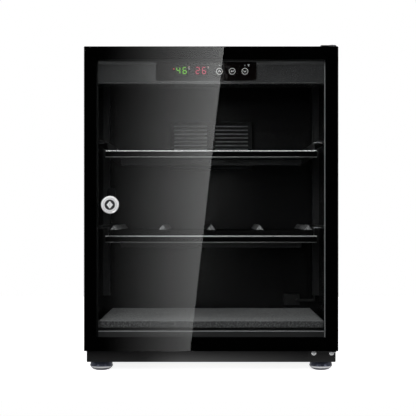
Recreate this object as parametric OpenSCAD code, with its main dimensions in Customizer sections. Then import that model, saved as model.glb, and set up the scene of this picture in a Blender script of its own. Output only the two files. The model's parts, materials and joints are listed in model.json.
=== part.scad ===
// Camera dry cabinet: a sheet steel cupboard with a framed glass door, two sliding shelves,
// a display with three buttons, and a memory-metal drying unit in its back wall.
// X runs to the right, Y runs into the cabinet and Z up, in millimetres.
// The origin is under the middle of the whole object, on the surface that it stands on.

/* [Cabinet] */
// Width over the side walls
body_w = 396; // [340:2:600]
// Depth from the front flange to the back panel
body_d = 340; // [320:2:460]
// Height from the underside of the base to the roof
body_h = 500; // [480:2:800]
// Thickness of the sheet steel
sheet_t = 1; // [0.8:0.1:1.4]
// Outer radius of the bends between the roof and the side walls
bend_r = 3; // [2:0.5:6]
// Width of the flange that the door closes on
flange_w = 18.5; // [17:0.5:22]
// Height of the base, from its underside to the floor
base_h = 50; // [44:1:70]
// Width of the flange that the back panel is screwed to
rear_flange_w = 12; // [10:0.5:16]

/* [Door] */
// How far the door stands past each side wall
door_over = 2; // [1:0.5:4]
// How far the door's top lies below the roof
door_drop = 0.8; // [0.4:0.1:2]
// Height of the base that shows below the door
base_show = 19.8; // [18:0.2:26]
// Thickness of the glass
glass_t = 4; // [3:0.5:5]
// Radius of the glass's corners
glass_r = 1.5; // [1:0.5:5]
// Width of the black border printed down the glass's sides
border_side = 19.3; // [19:0.1:24]
// Width of that border along the top
border_top = 20.5; // [19:0.5:26]
// Width of that border along the bottom
border_foot = 22; // [20:0.5:26]
// Thickness of the printed border
print_t = 0.2; // [0.1:0.05:0.3]
// Depth of the frame behind the glass
frame_d = 13.8; // [12:0.2:18]
// Width of the frame's bars
frame_w = 17; // [16:0.5:20]
// Space between the door's frame and the cabinet
seal_gap = 5; // [4:0.5:7]
// Width of the door seal
seal_w = 7; // [5:0.5:8]

/* [Hinges] */
// How far the hinge axis lies inside the door's edge
hinge_inset = 8; // [7.5:0.1:8.5]
// Radius of the hinge pins
pin_r = 3; // [2:0.25:3.5]
// Wall thickness of the hinge bushes
bush_t = 1.9; // [1:0.1:2]
// Length of the hinge bushes
bush_l = 10; // [6:0.5:14]
// Thickness of the hinge brackets
bracket_t = 1.6; // [1.2:0.1:2]

/* [Lock] */
// Distance of the lock's axis from the door's free edge
lock_inset = 41; // [38:0.5:60]
// Height of the lock's axis above the base's underside
lock_h = 250; // [230:1:300]
// Radius of the lock's bezel
bezel_r = 14; // [12:0.5:16]
// How far the bezel stands in front of the glass
bezel_h = 4.5; // [3:0.5:6]
// Radius of the lock's barrel
barrel_r = 9; // [8:0.5:10]
// Radius of the lock's plug
plug_r = 5.5; // [4.5:0.25:6]
// Reach of the cam from the lock's axis
cam_reach = 28; // [26:0.5:32]

/* [Control panel] */
// Height of the fascia above the door's opening
fascia_h = 56.4; // [52:0.2:70]
// Thickness of the fascia
fascia_t = 2; // [1.5:0.1:3]
// Width of the display panel
panel_w = 160; // [150:1:180]
// Height of the display panel
panel_h = 29.6; // [26:0.2:34]
// How far the display panel's middle lies left of the cabinet's middle
panel_left = 7.6; // [0:0.2:12]
// Height of the display's digits
digit_h = 11.2; // [10:0.2:14]
// Width of one digit
digit_w = 6.2; // [6:0.2:8]
// Distance between neighbouring digits
digit_pitch = 10; // [9:0.2:11]
// Radius of the buttons
button_r = 4.1; // [3.6:0.1:5.5]
// Distance between neighbouring buttons
button_pitch = 20.3; // [15:0.1:21]
// Travel of the buttons
button_travel = 0.5; // [0.3:0.1:0.8]

/* [Shelves] */
// Distance between the uprights' slots
slot_pitch = 19.6; // [18:0.2:21]
// Count of the slots below the one that the lower shelf hangs in
lower_slot_count = 6; // [6:1:7]
// Count of the slots below the one that the upper shelf hangs in
upper_slot_count = 13; // [12:1:14]
// Depth of the shelves' pans
pan_d = 257; // [220:1:259]
// Height of the shelves' side walls
pan_h = 24; // [20:1:28]
// Height of the trim along a shelf's front edge
trim_h = 11.4; // [10:0.2:14]
// Depth of that trim
trim_d = 6; // [5:0.5:7]
// Depth of the stiffener under each shelf
rib_h = 10.5; // [8:0.5:12]
// Thickness of the foam mat on the upper shelf
mat_t = 8; // [4:0.5:10]
// Thickness of the lens cradle under its ridges
cradle_t = 17.6; // [10:0.2:20]
// Height of the cradle's ridges
ridge_h = 9.7; // [6:0.1:14]
// Width of the cradle's ridges
ridge_w = 16; // [10:0.5:18]
// Thickness of the floor's foam mat
floor_mat_t = 11; // [6:0.5:16]
// Distance of the floor's mat behind the cabinet's front
floor_mat_back = 50; // [32:1:60]

/* [Drying unit] */
// Width of the drying unit's case
case_w = 150; // [144:1:180]
// Height of the drying unit's case
case_h = 86; // [84:1:100]
// Depth of the drying unit's case
case_d = 45; // [44:1:50]
// How far the outer cover stands behind the back panel
cover_proud = 12; // [11:0.5:16]
// Travel of the shutter carriage
shutter_travel = 6; // [4:0.5:7]

/* [Feet] */
// Height of the feet under the base
foot_h = 15.4; // [14:0.2:18]
// Radius of the feet
foot_r = 18.6; // [16:0.2:20]
// Radius of the feet's studs
stud_r = 4; // [3:0.25:5]
// How far the feet screw down
foot_travel = 6; // [3:0.5:8]
// Distance of the feet from the side walls' outer faces
foot_in = 21; // [21:0.5:40]

/* [Hidden] */
$fn = 64;

// Fits and overruns
fit_gap = 0.1;
run_gap = 0.05;
soft_gap = 0.3;
cut = 5;

// The cabinet's main planes
half_w = body_w / 2;
door_proud = seal_gap + frame_d + print_t + glass_t;
front_y = (door_proud + bezel_h - body_d - cover_proud) / 2;
back_y = front_y + body_d;
inner_y = front_y + sheet_t;
panel_y = back_y - sheet_t;
under_z = foot_h;
roof_z = foot_h + body_h;
ceiling_z = roof_z - sheet_t;
floor_z = foot_h + base_h;
wall_x = half_w - sheet_t;
tray_x = wall_x - fit_gap;
mouth_x = half_w - flange_w;
sill_x = mouth_x - fit_gap;
sill_lip = 14;
plinth_gap = 1.4;

// The door's planes
door_x = half_w + door_over;
door_z0 = under_z + base_show;
door_z1 = roof_z - door_drop;
plinth_z = door_z0 + plinth_gap;
glass_y0 = front_y - door_proud;
glass_y1 = glass_y0 + glass_t;
print_y1 = glass_y1 + print_t;
frame_y1 = print_y1 + frame_d;
frame_in = 1;
seal_in_side = 8.5;
seal_in_end = 5;
dart_w = 3;
dart_d = 2.4;

// The hinges
hinge_x = door_x - hinge_inset;
hinge_y = front_y - seal_gap - hinge_inset;
bush_r = pin_r + run_gap + bush_t;
bush_lip = 0.6;
bush_flange_r = bush_r + bush_lip;
bush_flange_t = 1.1;
pin_head_r = 4.6;
pin_head_t = 1;
tongue_gap = 0.5;
tongue_r = 6;
upper_plate_w = 31;
upper_plate_d = 30;
upper_screw_back = 19;
upper_screw_x = [9, 24];
lower_plate_w = 44;
lower_plate_low = 2;
lower_screw_x = [34.7, 6.6];
lower_tongue_w = 29;
lower_notch_w = 13;
hinge_screw_r = 2;
hinge_head_r = 3.9;
hinge_head_t = 2;
screw_gap = 1.2;
lower_screw_z = door_z0 - screw_gap - hinge_head_r;

// The lock
lock_x = -(door_x - lock_inset);
lock_z = under_z + lock_h;
barrel_gap = 0.3;
barrel_over = 1.5;
barrel_y1 = inner_y + barrel_over;
bezel_cup_r = 7.6;
bezel_cup_d = 2;
nut_r = 13;
nut_t = 3;
washer_t = 1;
plug_gap = 0.08;
tang_w = 6;
cam_w = 14;
cam_t = 2;
cam_gap = 0.2;
cam_y0 = barrel_y1 + cam_gap;
cam_screw_r = 4;
cam_screw_t = 2;
keyway_w = 1.2;
keyway_h = 6.4;
keyway_d = 8;
strike_t = 1.2;
strike_h = 60;
strike_w = 14;

// The control panel
fascia_z = roof_z - sheet_t - fascia_h;
fascia_y1 = inner_y + fascia_t;
fascia_gap = 0.5;
fascia_x = wall_x - fascia_gap;
panel_x = -panel_left;
panel_lift = 20;
panel_z = fascia_z + panel_lift;
panel_r = 2.4;
panel_sink = 0.4;
panel_lip = 3;
panel_lip_t = 1.2;
panel_y0 = inner_y - panel_sink;
lip_y1 = fascia_y1 + panel_lip_t;
digit_rise = 1.3;
digit_z = panel_z + digit_rise;
humidity_left = 39.6;
humidity_x = panel_x - humidity_left;
temperature_left = 8.8;
temperature_x = panel_x - temperature_left;
module_w = 22;
module_h = 16;
digit_sink = 0.1;
digit_t = 0.3;
segment_w = 1.2;
segment_gap = 0.25;
module_y0 = panel_y0 + digit_sink + digit_t;
lamp_left = 51.9;
lamp_x = panel_x - lamp_left;
lamp_r = 0.9;
lamp_rise = 2.5;
unit_r = 0.9;
unit_right = [-27.6, 2.6];
unit_x = [for (r = unit_right) panel_x + r];
unit_rise = 5.7;
button_right = 20.7;
button_x = [for (i = [0:2]) panel_x + button_right + i * button_pitch];
button_gap = 0.25;
button_proud = 0.6;
button_lip = 1;
button_lip_t = 0.8;
stem_r = 1.5;
post_l = 14;
post_r = 3;
post_in = 5;
board_t = 1.6;
board_over = 12;
board_rise = 2.2;
board_w = panel_w + 2 * board_over;
board_h = panel_h + 2 * board_rise;
board_y0 = fascia_y1 + post_l;
switch_w = 6;
switch_h = 3.5;
plug_block = [24, 10, 8];
board_screw_r = 1.4;
board_head_r = 2.6;
board_head_t = 1.5;
board_screw_l = 6;
housing_d = 58;
housing_y1 = fascia_y1 + housing_d;
sensor_size = [16, 8, 24];
sensor_slot = 1.6;
sensor_slots = 5;

// The uprights, runners and shelves
upright_w = 14;
upright_d = 12;
upright_t = 1.2;
upright_lift = 37;
upright_drop = 8;
upright_z0 = floor_z + upright_lift;
upright_z1 = fascia_z - upright_drop;
rear_upright_drop = 10;
rear_upright_z1 = ceiling_z - rear_upright_drop;
upright_x = wall_x - upright_d;
upright_front = 26;
slot_first = 9.7;
slot_w = 3;
slot_h = 8;
slot_count = floor((upright_z1 - upright_z0 - 2 * slot_first) / slot_pitch) + 1;
hook_w = 2.6;
hook_h = 6.4;
hook_l = 1.4;
runner_t = 1.2;
runner_space = 2.5;
runner_leg = 13;
shelf_gap = 1.5;
pan_t = 1;
pan_front = 28;
pan_y0 = front_y + pan_front;
pan_y1 = pan_y0 + pan_d;
rear_up_y = pan_y1;
pan_side = 30;
pan_x = wall_x - pan_side;
shelf_flange_x = mouth_x - shelf_gap;
trim_over = 3;
trim_low = 1;
bead_r = 1.1;
rib_w = 20;
rib_back = 60;
rib_x = 150;
lower_pan_z = slot_z(lower_slot_count) - runner_space / 2 + soft_gap + pan_t - pan_h;
upper_pan_z = slot_z(upper_slot_count) - runner_space / 2 + soft_gap + pan_t - pan_h;
mat_in = 0.5;
mat_x = pan_x - pan_t - mat_in;
ridge_count = 5;
ridge_end = 0.5;
ridge_pitch = (2 * (mat_x - ridge_end) - ridge_w) / (ridge_count - 1);
floor_mat_side = 13;
floor_mat_rear = 10;

// The drying unit
case_t = 2;
case_drop = 30;
case_z = upright_z1 - case_drop - case_h;
case_y0 = panel_y - case_d;
case_mid_z = case_z + case_h / 2;
cutout_w = 130;
cutout_h = 66;
grille_t = 2.5;
grille_slot = 2.4;
grille_pitch = 7;
cover_t = 2;
cover_over = 6;
pack_w = 100;
pack_d = 16;
pack_h = 62;
pack_gap = 2.5;
heater_t = 2;
rod_r = 2;
rod_x = 58;
plate_t = 1.5;
plate_lap = 3;
inner_plate_y = case_y0 + grille_t + soft_gap + shutter_travel;
outer_plate_y = panel_y - case_t - soft_gap - plate_t;
heater_y0 = inner_plate_y + plate_t + pack_gap + pack_d;
spring_r = 3.4;
spring_wire = 0.6;
memory_turns = 6;
bias_turns = 4;
spring_gap = 0.3;

// Power and wiring
inlet_side = 47;
inlet_x = wall_x - inlet_side;
inlet_lift = 27;
inlet_z = floor_z + inlet_lift;
inlet_w = 28;
inlet_h = 20;
inlet_d = 22;
inlet_proud = 3;
inlet_wall = 2.5;
blade_r = 1.2;
blade_pitch = 8.6;
blade_l = 12;
wire_r = 2.5;
wire_in = 8;
wire_x = wall_x - wire_in;
wire_run = 12;
wire_y = panel_y - inlet_d - wire_run;
wire_drop = 6;
wire_z = ceiling_z - wire_drop;
branch_lift = 30;
branch_z = case_z + branch_lift;

// Screws and feet
rear_screw_r = 1.5;
rear_head_r = 3.2;
rear_head_t = 1.6;
rear_screw_l = 4;
rear_screw_shares = [0.14, 0.5, 0.86];
top_screw_shares = [-0.6, 0, 0.6];
foot_front = 30;
foot_back = 30;
foot_x = half_w - foot_in;
sole_t = 1.4;
sole_in = 9.1;
sole_r = foot_r - sole_in;
sole_edge_in = 5.2;
sole_edge_r = foot_r - sole_edge_in;
bowl_in = 1.8;
bowl_r = foot_r - bowl_in;
bowl_z = 3.8;
foot_belly_z = 7;
neck_in = 2;
foot_neck_r = foot_r - neck_in;
foot_gap = 0.3;
thread_gap = 0.06;
foot_nut_r = 7;
foot_nut_h = 8;
stud_over = 2;

// Height of one slot's middle on the uprights
function slot_z(k) = upright_z0 + slot_first + k * slot_pitch;

// A block given by its limits along X, Y and Z
module block(x, y, z) {
    translate([x[0], y[0], z[0]])
        cube([x[1] - x[0], y[1] - y[0], z[1] - z[0]]);
}

// Draws its children and their mirror image on the cabinet's other side
module both_sides() {
    children();
    mirror([1, 0, 0]) children();
}

// A round bar along Y
module bar_y(x, z, y, r) {
    translate([x, y[0], z])
        rotate([-90, 0, 0]) cylinder(h = y[1] - y[0], r = r);
}

// A round bar along Z
module bar_z(x, y, z, r) {
    translate([x, y, z[0]]) cylinder(h = z[1] - z[0], r = r);
}

// A plate that stands across Y, with rounded corners
module round_plate(x, y, z, r) {
    block([x[0] + r, x[1] - r], y, z);
    block(x, y, [z[0] + r, z[1] - r]);
    for (cx = [x[0] + r, x[1] - r], cz = [z[0] + r, z[1] - r])
        bar_y(cx, cz, y, r);
}

// A rectangular ring that stands across Y, given by its outer limits and its bars' width
module ring_y(x, y, z, w) {
    difference() {
        block(x, y, z);
        block([x[0] + w, x[1] - w], [y[0] - cut, y[1] + cut], [z[0] + w, z[1] - w]);
    }
}

// A round wire or pipe between two points, with a ball at its far end
module run(a, b, r, ball = true) {
    d = b - a;
    l = norm(d);
    translate(a)
        rotate([0, acos(d[2] / l), atan2(d[1], d[0])])
            cylinder(h = l, r = r);
    if (ball) translate(b) sphere(r = r);
}

// Roof and side walls as one bent sheet, with its front and rear flanges
module cabinet_shell() {
    color([0.05, 0.05, 0.055]) difference() {
        union() {
            wrap_sheet();
            both_sides() block([mouth_x, half_w - bend_r], [front_y, inner_y], [plinth_z, roof_z - bend_r]);
            block([-half_w + bend_r, half_w - bend_r], [front_y, inner_y], [roof_z - flange_w, ceiling_z]);
            both_sides() block([wall_x - bend_r, wall_x + fit_gap], [front_y, inner_y],
                [plinth_z, roof_z - bend_r]);
            both_sides() block([wall_x - rear_flange_w, wall_x + fit_gap],
                [panel_y - sheet_t, panel_y], [floor_z + fit_gap, ceiling_z - bend_r]);
            block([-wall_x + bend_r, wall_x - bend_r], [panel_y - sheet_t, panel_y],
                [ceiling_z - rear_flange_w, ceiling_z + fit_gap]);
        }
        block([-half_w - cut, half_w + cut], [front_y - cut, inner_y], [under_z - cut, plinth_z]);
        rear_screw_holes();
    }
}

// The bent sheet itself: a tall U upside down, drawn from front to back
module wrap_sheet() {
    translate([0, back_y, 0]) rotate([90, 0, 0]) linear_extrude(height = body_d) difference() {
        wrap_outline(half_w, roof_z, bend_r, 0);
        wrap_outline(wall_x, ceiling_z, bend_r - sheet_t, cut);
    }
}

// Outline of the wrap: square at the foot, round at the two top corners
module wrap_outline(x, z, r, below) {
    translate([-x, under_z - below]) square([2 * x, z - r - under_z + below]);
    translate([-x + r, under_z]) square([2 * (x - r), z - under_z]);
    for (s = [-1, 1]) translate([s * (x - r), z - r]) circle(r = r);
}

// Holes for the back panel's screws
module rear_screw_holes() {
    for (p = rear_screw_places())
        bar_y(p[0], p[1], [panel_y - cut, back_y + cut], rear_screw_r + fit_gap);
}

// Places of the back panel's screws: three down each side and three along the top
function rear_screw_places() = concat(
    [for (s = [-1, 1], h = rear_screw_shares)
        [s * (wall_x - rear_flange_w / 2), floor_z + h * (ceiling_z - floor_z)]],
    [for (w = top_screw_shares) [w * wall_x, ceiling_z - rear_flange_w / 2]]);

module back_panel() {
    color([0.06, 0.06, 0.065]) difference() {
        union() {
            block([-tray_x, tray_x], [panel_y, back_y], [under_z, ceiling_z - bend_r]);
            block([-wall_x + bend_r, wall_x - bend_r], [panel_y, back_y], [under_z, ceiling_z - fit_gap]);
        }
        rear_screw_holes();
        block([-cutout_w / 2, cutout_w / 2], [panel_y - cut, back_y + cut],
            [case_mid_z - cutout_h / 2, case_mid_z + cutout_h / 2]);
        block([inlet_x - inlet_w / 2 - fit_gap, inlet_x + inlet_w / 2 + fit_gap],
            [panel_y - cut, back_y + cut],
            [inlet_z - inlet_h / 2 - fit_gap, inlet_z + inlet_h / 2 + fit_gap]);
    }
}

// The base: a tray whose front rises behind the door's lower edge as a sill
module base_pan() {
    color([0.05, 0.05, 0.055]) difference() {
        union() {
            block([-half_w, half_w], [front_y, inner_y], [under_z, plinth_z]);
            block([-sill_x, sill_x], [front_y, inner_y], [under_z, floor_z - sheet_t]);
            block([-sill_x, sill_x], [front_y, inner_y + sill_lip],
                [floor_z - 2 * sheet_t, floor_z - sheet_t]);
            block([-tray_x, tray_x], [front_y, panel_y], [under_z, under_z + sheet_t]);
            both_sides() block([tray_x - sheet_t, tray_x], [inner_y, panel_y],
                [under_z, floor_z - sheet_t]);
            block([-tray_x, tray_x], [panel_y - sheet_t, panel_y], [under_z, floor_z - sheet_t]);
        }
        for (p = foot_places())
            bar_z(p[0], p[1], [under_z - cut, under_z + cut], stud_r + soft_gap);
    }
}

// Places of the four feet
function foot_places() =
    [for (s = [-1, 1], y = [front_y + foot_front, back_y - foot_back]) [s * foot_x, y]];

module floor_panel() {
    color([0.07, 0.07, 0.075]) union() {
        block([-sill_x, sill_x], [front_y, panel_y], [floor_z - sheet_t, floor_z]);
        block([-tray_x, tray_x], [inner_y, panel_y], [floor_z - sheet_t, floor_z]);
    }
}

module floor_mat() {
    color([0.3, 0.3, 0.31])
        block([-wall_x + floor_mat_side, wall_x - floor_mat_side],
            [front_y + floor_mat_back, panel_y - floor_mat_rear],
            [floor_z, floor_z + floor_mat_t]);
}

// The fascia closes the top of the opening and carries the display panel and the board
module control_fascia() {
    color([0.2, 0.2, 0.21]) difference() {
        union() {
            block([-fascia_x, fascia_x], [inner_y, fascia_y1], [fascia_z, ceiling_z - bend_r]);
            for (p = post_places()) bar_y(p[0], p[1], [inner_y + fit_gap, board_y0], post_r);
        }
        round_plate([panel_x - panel_w / 2 - fit_gap, panel_x + panel_w / 2 + fit_gap],
            [inner_y - cut, board_y0],
            [panel_z - panel_h / 2 - fit_gap, panel_z + panel_h / 2 + fit_gap], panel_r + fit_gap);
        for (p = post_places())
            bar_y(p[0], p[1], [board_y0 - board_screw_l, board_y0 + cut], board_screw_r);
    }
}

// Places of the posts that hold the circuit board
function post_places() =
    [for (s = [-1, 1], v = [-1, 1])
        [panel_x + s * (board_w / 2 - post_in), panel_z + v * (board_h / 2 - post_in)]];

// Sheet cover around the electronics: a bottom and a rear wall
module control_housing() {
    color([0.08, 0.08, 0.085]) union() {
        block([-fascia_x, fascia_x], [fascia_y1, housing_y1], [fascia_z, fascia_z + sheet_t]);
        block([-fascia_x, fascia_x], [housing_y1 - sheet_t, housing_y1],
            [fascia_z, ceiling_z - bend_r]);
    }
}

// Gloss panel in the fascia, held by a lip behind it
module display_panel() {
    color([0.02, 0.02, 0.02]) difference() {
        union() {
            round_plate([panel_x - panel_w / 2, panel_x + panel_w / 2], [panel_y0, fascia_y1],
                [panel_z - panel_h / 2, panel_z + panel_h / 2], panel_r);
            block([panel_x - panel_w / 2 - panel_lip, panel_x + panel_w / 2 + panel_lip],
                [fascia_y1, lip_y1],
                [panel_z - panel_h / 2 - panel_lip, panel_z + panel_h / 2 + panel_lip]);
        }
        for (x = [humidity_x, temperature_x])
            block([x - module_w / 2 - fit_gap, x + module_w / 2 + fit_gap],
                [panel_y0 - cut, lip_y1 + cut],
                [digit_z - module_h / 2 - fit_gap, digit_z + module_h / 2 + fit_gap]);
        for (x = button_x)
            bar_y(x, panel_z, [panel_y0 - cut, lip_y1 + cut], button_r + button_gap);
        for (p = lamp_places())
            bar_y(p[0], p[1], [panel_y0 - cut, panel_y0 + digit_sink + digit_t], p[2]);
    }
}

// Places and radii of the status lamp and of the lamps beside the two readings
function lamp_places() = [[lamp_x, digit_z + lamp_rise, lamp_r],
    [unit_x[0], digit_z + unit_rise, unit_r], [unit_x[1], digit_z + unit_rise, unit_r]];

// Black blocks that carry the lit segments, from the board to the panel's face
module display_modules() {
    color([0.03, 0.03, 0.03])
        for (x = [humidity_x, temperature_x])
            block([x - module_w / 2, x + module_w / 2], [module_y0, board_y0],
                [digit_z - module_h / 2, digit_z + module_h / 2]);
}

// Circuit board with its three switches and its plug block
module control_board() {
    color([0.05, 0.3, 0.12]) difference() {
        union() {
            block([panel_x - board_w / 2, panel_x + board_w / 2], [board_y0, board_y0 + board_t],
                [panel_z - board_h / 2, panel_z + board_h / 2]);
            for (x = button_x)
                block([x - switch_w / 2, x + switch_w / 2], [board_y0 - switch_h, board_y0],
                    [panel_z - switch_w / 2, panel_z + switch_w / 2]);
            block([panel_x - plug_block[0] / 2, panel_x + plug_block[0] / 2],
                [board_y0 + board_t, board_y0 + board_t + plug_block[1]],
                [panel_z - plug_block[2] / 2, panel_z + plug_block[2] / 2]);
        }
        for (p = post_places())
            bar_y(p[0], p[1], [board_y0 - cut, board_y0 + cut], board_screw_r + fit_gap);
    }
}

module board_screws() {
    color("silver") for (p = post_places()) {
        bar_y(p[0], p[1], [board_y0 - board_screw_l + fit_gap, board_y0 + board_t],
            board_screw_r - run_gap);
        bar_y(p[0], p[1], [board_y0 + board_t, board_y0 + board_t + board_head_t], board_head_r);
    }
}

// One bar of a digit: a long hexagon, lying or standing
module segment(length, upright) {
    half = length / 2 - segment_gap;
    end = segment_w / 2;
    rotate(upright ? 90 : 0) polygon([[-half, 0], [end - half, end], [half - end, end],
        [half, 0], [half - end, -end], [end - half, -end]]);
}

// The bars that a figure lights, named a to g clockwise from the top with g in the middle
function lit_bars(figure) = figure == 2 ? "abdeg" : figure == 4 ? "bcfg" : "acdefg";

// Place of one bar as shares of the digit's half width and quarter height
function bar_shares(bar) = bar == "a" ? [0, 2] : bar == "b" ? [1, 1] : bar == "c" ? [1, -1]
    : bar == "d" ? [0, -2] : bar == "e" ? [-1, -1] : bar == "f" ? [-1, 1] : [0, 0];

// One figure made of lit bars
module figure_bars(figure) {
    bars_w = digit_w - segment_w;
    bars_h = digit_h - segment_w;
    for (bar = lit_bars(figure)) {
        share = bar_shares(bar);
        upright = share[0] != 0;
        translate([share[0] * bars_w / 2, share[1] * bars_h / 4])
            segment(upright ? bars_h / 2 : bars_w, upright);
    }
}

// A reading of two figures, at the panel's face
module reading(x, figures) {
    for (i = [0, 1])
        translate([x + (i - 0.5) * digit_pitch, module_y0, digit_z])
            rotate([90, 0, 0]) linear_extrude(height = digit_t) figure_bars(figures[i]);
}

module humidity_digits() {
    color([0.2, 0.9, 0.3]) reading(humidity_x, [4, 6]);
}

module temperature_digits() {
    color([0.95, 0.3, 0.35]) reading(temperature_x, [2, 6]);
}

module status_lamps() {
    color([0.9, 0.2, 0.2]) for (p = lamp_places())
        bar_y(p[0], p[1], [panel_y0 + digit_sink, panel_y0 + digit_sink + digit_t], p[2] - run_gap);
}

// Small slotted box on the housing's rear wall
module humidity_sensor() {
    z0 = fascia_z + sensor_size[2] / 2;
    color([0.85, 0.85, 0.83]) difference() {
        block([-sensor_size[0] / 2, sensor_size[0] / 2], [housing_y1, housing_y1 + sensor_size[1]],
            [z0, z0 + sensor_size[2]]);
        for (i = [1:sensor_slots])
            block([-sensor_size[0] / 3, sensor_size[0] / 3],
                [housing_y1 + sensor_size[1] / 2, housing_y1 + sensor_size[1] + cut],
                [z0 + i * sensor_size[2] / (sensor_slots + 1) - sensor_slot / 2,
                    z0 + i * sensor_size[2] / (sensor_slots + 1) + sensor_slot / 2]);
    }
}

// One push button: cap, lip behind the panel, and the stem over its switch
module button(x) {
    bar_y(x, panel_z, [panel_y0 - button_proud, lip_y1 + soft_gap], button_r);
    bar_y(x, panel_z, [lip_y1 + soft_gap, lip_y1 + soft_gap + button_lip_t],
        button_r + button_gap + button_lip);
    bar_y(x, panel_z, [lip_y1 + soft_gap, board_y0 - switch_h - button_travel - fit_gap], stem_r);
}

module up_button() {
    color([0.1, 0.1, 0.1]) button(button_x[0]);
}

module set_button() {
    color([0.1, 0.1, 0.1]) button(button_x[1]);
}

module down_button() {
    color([0.1, 0.1, 0.1]) button(button_x[2]);
}

// One slotted channel, its web towards the shelves and its legs welded to the wall
module upright(y, z1) {
    difference() {
        block([upright_x, wall_x], [y, y + upright_w], [upright_z0, z1]);
        block([upright_x + upright_t, wall_x + cut], [y + upright_t, y + upright_w - upright_t],
            [upright_z0 - cut, z1 + cut]);
        for (k = [0:slot_count - 1])
            block([upright_x - cut, upright_x + cut],
                [y + upright_w / 2 - slot_w / 2, y + upright_w / 2 + slot_w / 2],
                [slot_z(k) - slot_h / 2, slot_z(k) + slot_h / 2]);
    }
}

// The front and rear channel of one side
module upright_pair() {
    upright(front_y + upright_front, upright_z1);
    upright(rear_up_y, rear_upright_z1);
}

module uprights_left() {
    color([0.09, 0.09, 0.095]) mirror([1, 0, 0]) upright_pair();
}

module uprights_right() {
    color([0.09, 0.09, 0.095]) upright_pair();
}

// One runner: a channel open towards the shelf, a stop at its rear, and hooks in the slots
module runner(z) {
    x0 = upright_x - runner_leg;
    y = [front_y + upright_front, rear_up_y + upright_w];
    block([upright_x - runner_t, upright_x], y,
        [z - runner_space / 2 - runner_t, z + runner_space / 2 + runner_t]);
    for (s = [-1, 1])
        block([x0, upright_x], y, [z + s * (runner_space + runner_t) / 2 - runner_t / 2,
            z + s * (runner_space + runner_t) / 2 + runner_t / 2]);
    block([x0, upright_x], [pan_y1 + soft_gap, pan_y1 + soft_gap + runner_t],
        [z - runner_space / 2 - fit_gap, z + runner_space / 2 + fit_gap]);
    for (up = [front_y + upright_front, rear_up_y])
        block([upright_x - fit_gap, upright_x + upright_t + hook_l],
            [up + upright_w / 2 - hook_w / 2, up + upright_w / 2 + hook_w / 2],
            [z - hook_h / 2, z + hook_h / 2]);
}

module upper_runners() {
    color([0.12, 0.12, 0.125]) both_sides() runner(slot_z(upper_slot_count));
}

module lower_runners() {
    color([0.12, 0.12, 0.125]) both_sides() runner(slot_z(lower_slot_count));
}

// A shelf: pan, side walls that end in the sliding flanges, and a stiffener underneath
module shelf(z) {
    block([-pan_x, pan_x], [pan_y0, pan_y1], [z, z + pan_t]);
    both_sides() block([pan_x - pan_t, pan_x], [pan_y0, pan_y1], [z, z + pan_h]);
    both_sides() block([pan_x - pan_t, shelf_flange_x], [pan_y0, pan_y1], [z + pan_h - pan_t, z + pan_h]);
    block([-pan_x, pan_x], [pan_y1 - pan_t, pan_y1], [z, z + pan_h / 2]);
    for (s = [0, 1])
        block([-rib_x, rib_x], [pan_y0 + rib_back + s * (rib_w - pan_t),
            pan_y0 + rib_back + s * (rib_w - pan_t) + pan_t], [z - rib_h, z + pan_t]);
    block([-rib_x, rib_x], [pan_y0 + rib_back, pan_y0 + rib_back + rib_w], [z - rib_h, z - rib_h + pan_t]);
}

// Front trim of a shelf: a bar with a round bead along its upper and its lower edge
module shelf_trim(z) {
    x = pan_x + trim_over;
    block([-x, x], [pan_y0 - trim_d + bead_r, pan_y0], [z - trim_low, z - trim_low + trim_h]);
    for (bz = [z - trim_low + bead_r, z - trim_low + trim_h - bead_r])
        translate([-x, pan_y0 - trim_d + bead_r, bz])
            rotate([0, 90, 0]) cylinder(h = 2 * x, r = bead_r);
}

module upper_shelf() {
    color([0.13, 0.13, 0.135]) shelf(upper_pan_z);
}

module lower_shelf() {
    color([0.13, 0.13, 0.135]) shelf(lower_pan_z);
}

module upper_shelf_trim() {
    color([0.5, 0.5, 0.52]) shelf_trim(upper_pan_z);
}

module lower_shelf_trim() {
    color([0.5, 0.5, 0.52]) shelf_trim(lower_pan_z);
}

module upper_mat() {
    color([0.25, 0.25, 0.26])
        block([-mat_x, mat_x], [pan_y0 + mat_in, pan_y1 - pan_t - mat_in],
            [upper_pan_z + pan_t, upper_pan_z + pan_t + mat_t]);
}

// Foam bed with ridges that keep lying lenses apart
module lens_cradle() {
    z = lower_pan_z + pan_t + cradle_t;
    y = [pan_y0 + mat_in, pan_y1 - pan_t - mat_in];
    color([0.35, 0.35, 0.36]) union() {
        block([-mat_x, mat_x], y, [lower_pan_z + pan_t, z]);
        for (i = [0:ridge_count - 1])
            translate([(i - (ridge_count - 1) / 2) * ridge_pitch, y[1], z])
                rotate([90, 0, 0]) linear_extrude(height = y[1] - y[0])
                    polygon([[-ridge_w / 2, -fit_gap], [-ridge_w / 2, 0], [0, ridge_h],
                        [ridge_w / 2, 0], [ridge_w / 2, -fit_gap]]);
    }
}

// Case of the drying unit: a box against the back panel, open at the front and rear
module dry_unit_case() {
    color([0.15, 0.15, 0.155]) difference() {
        block([-case_w / 2, case_w / 2], [case_y0 + grille_t, panel_y], [case_z, case_z + case_h]);
        block([-case_w / 2 + case_t, case_w / 2 - case_t], [case_y0 - cut, panel_y - case_t],
            [case_z + case_t, case_z + case_h - case_t]);
        block([-cutout_w / 2, cutout_w / 2], [panel_y - 2 * cut, panel_y + cut],
            [case_mid_z - cutout_h / 2, case_mid_z + cutout_h / 2]);
    }
}

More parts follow.
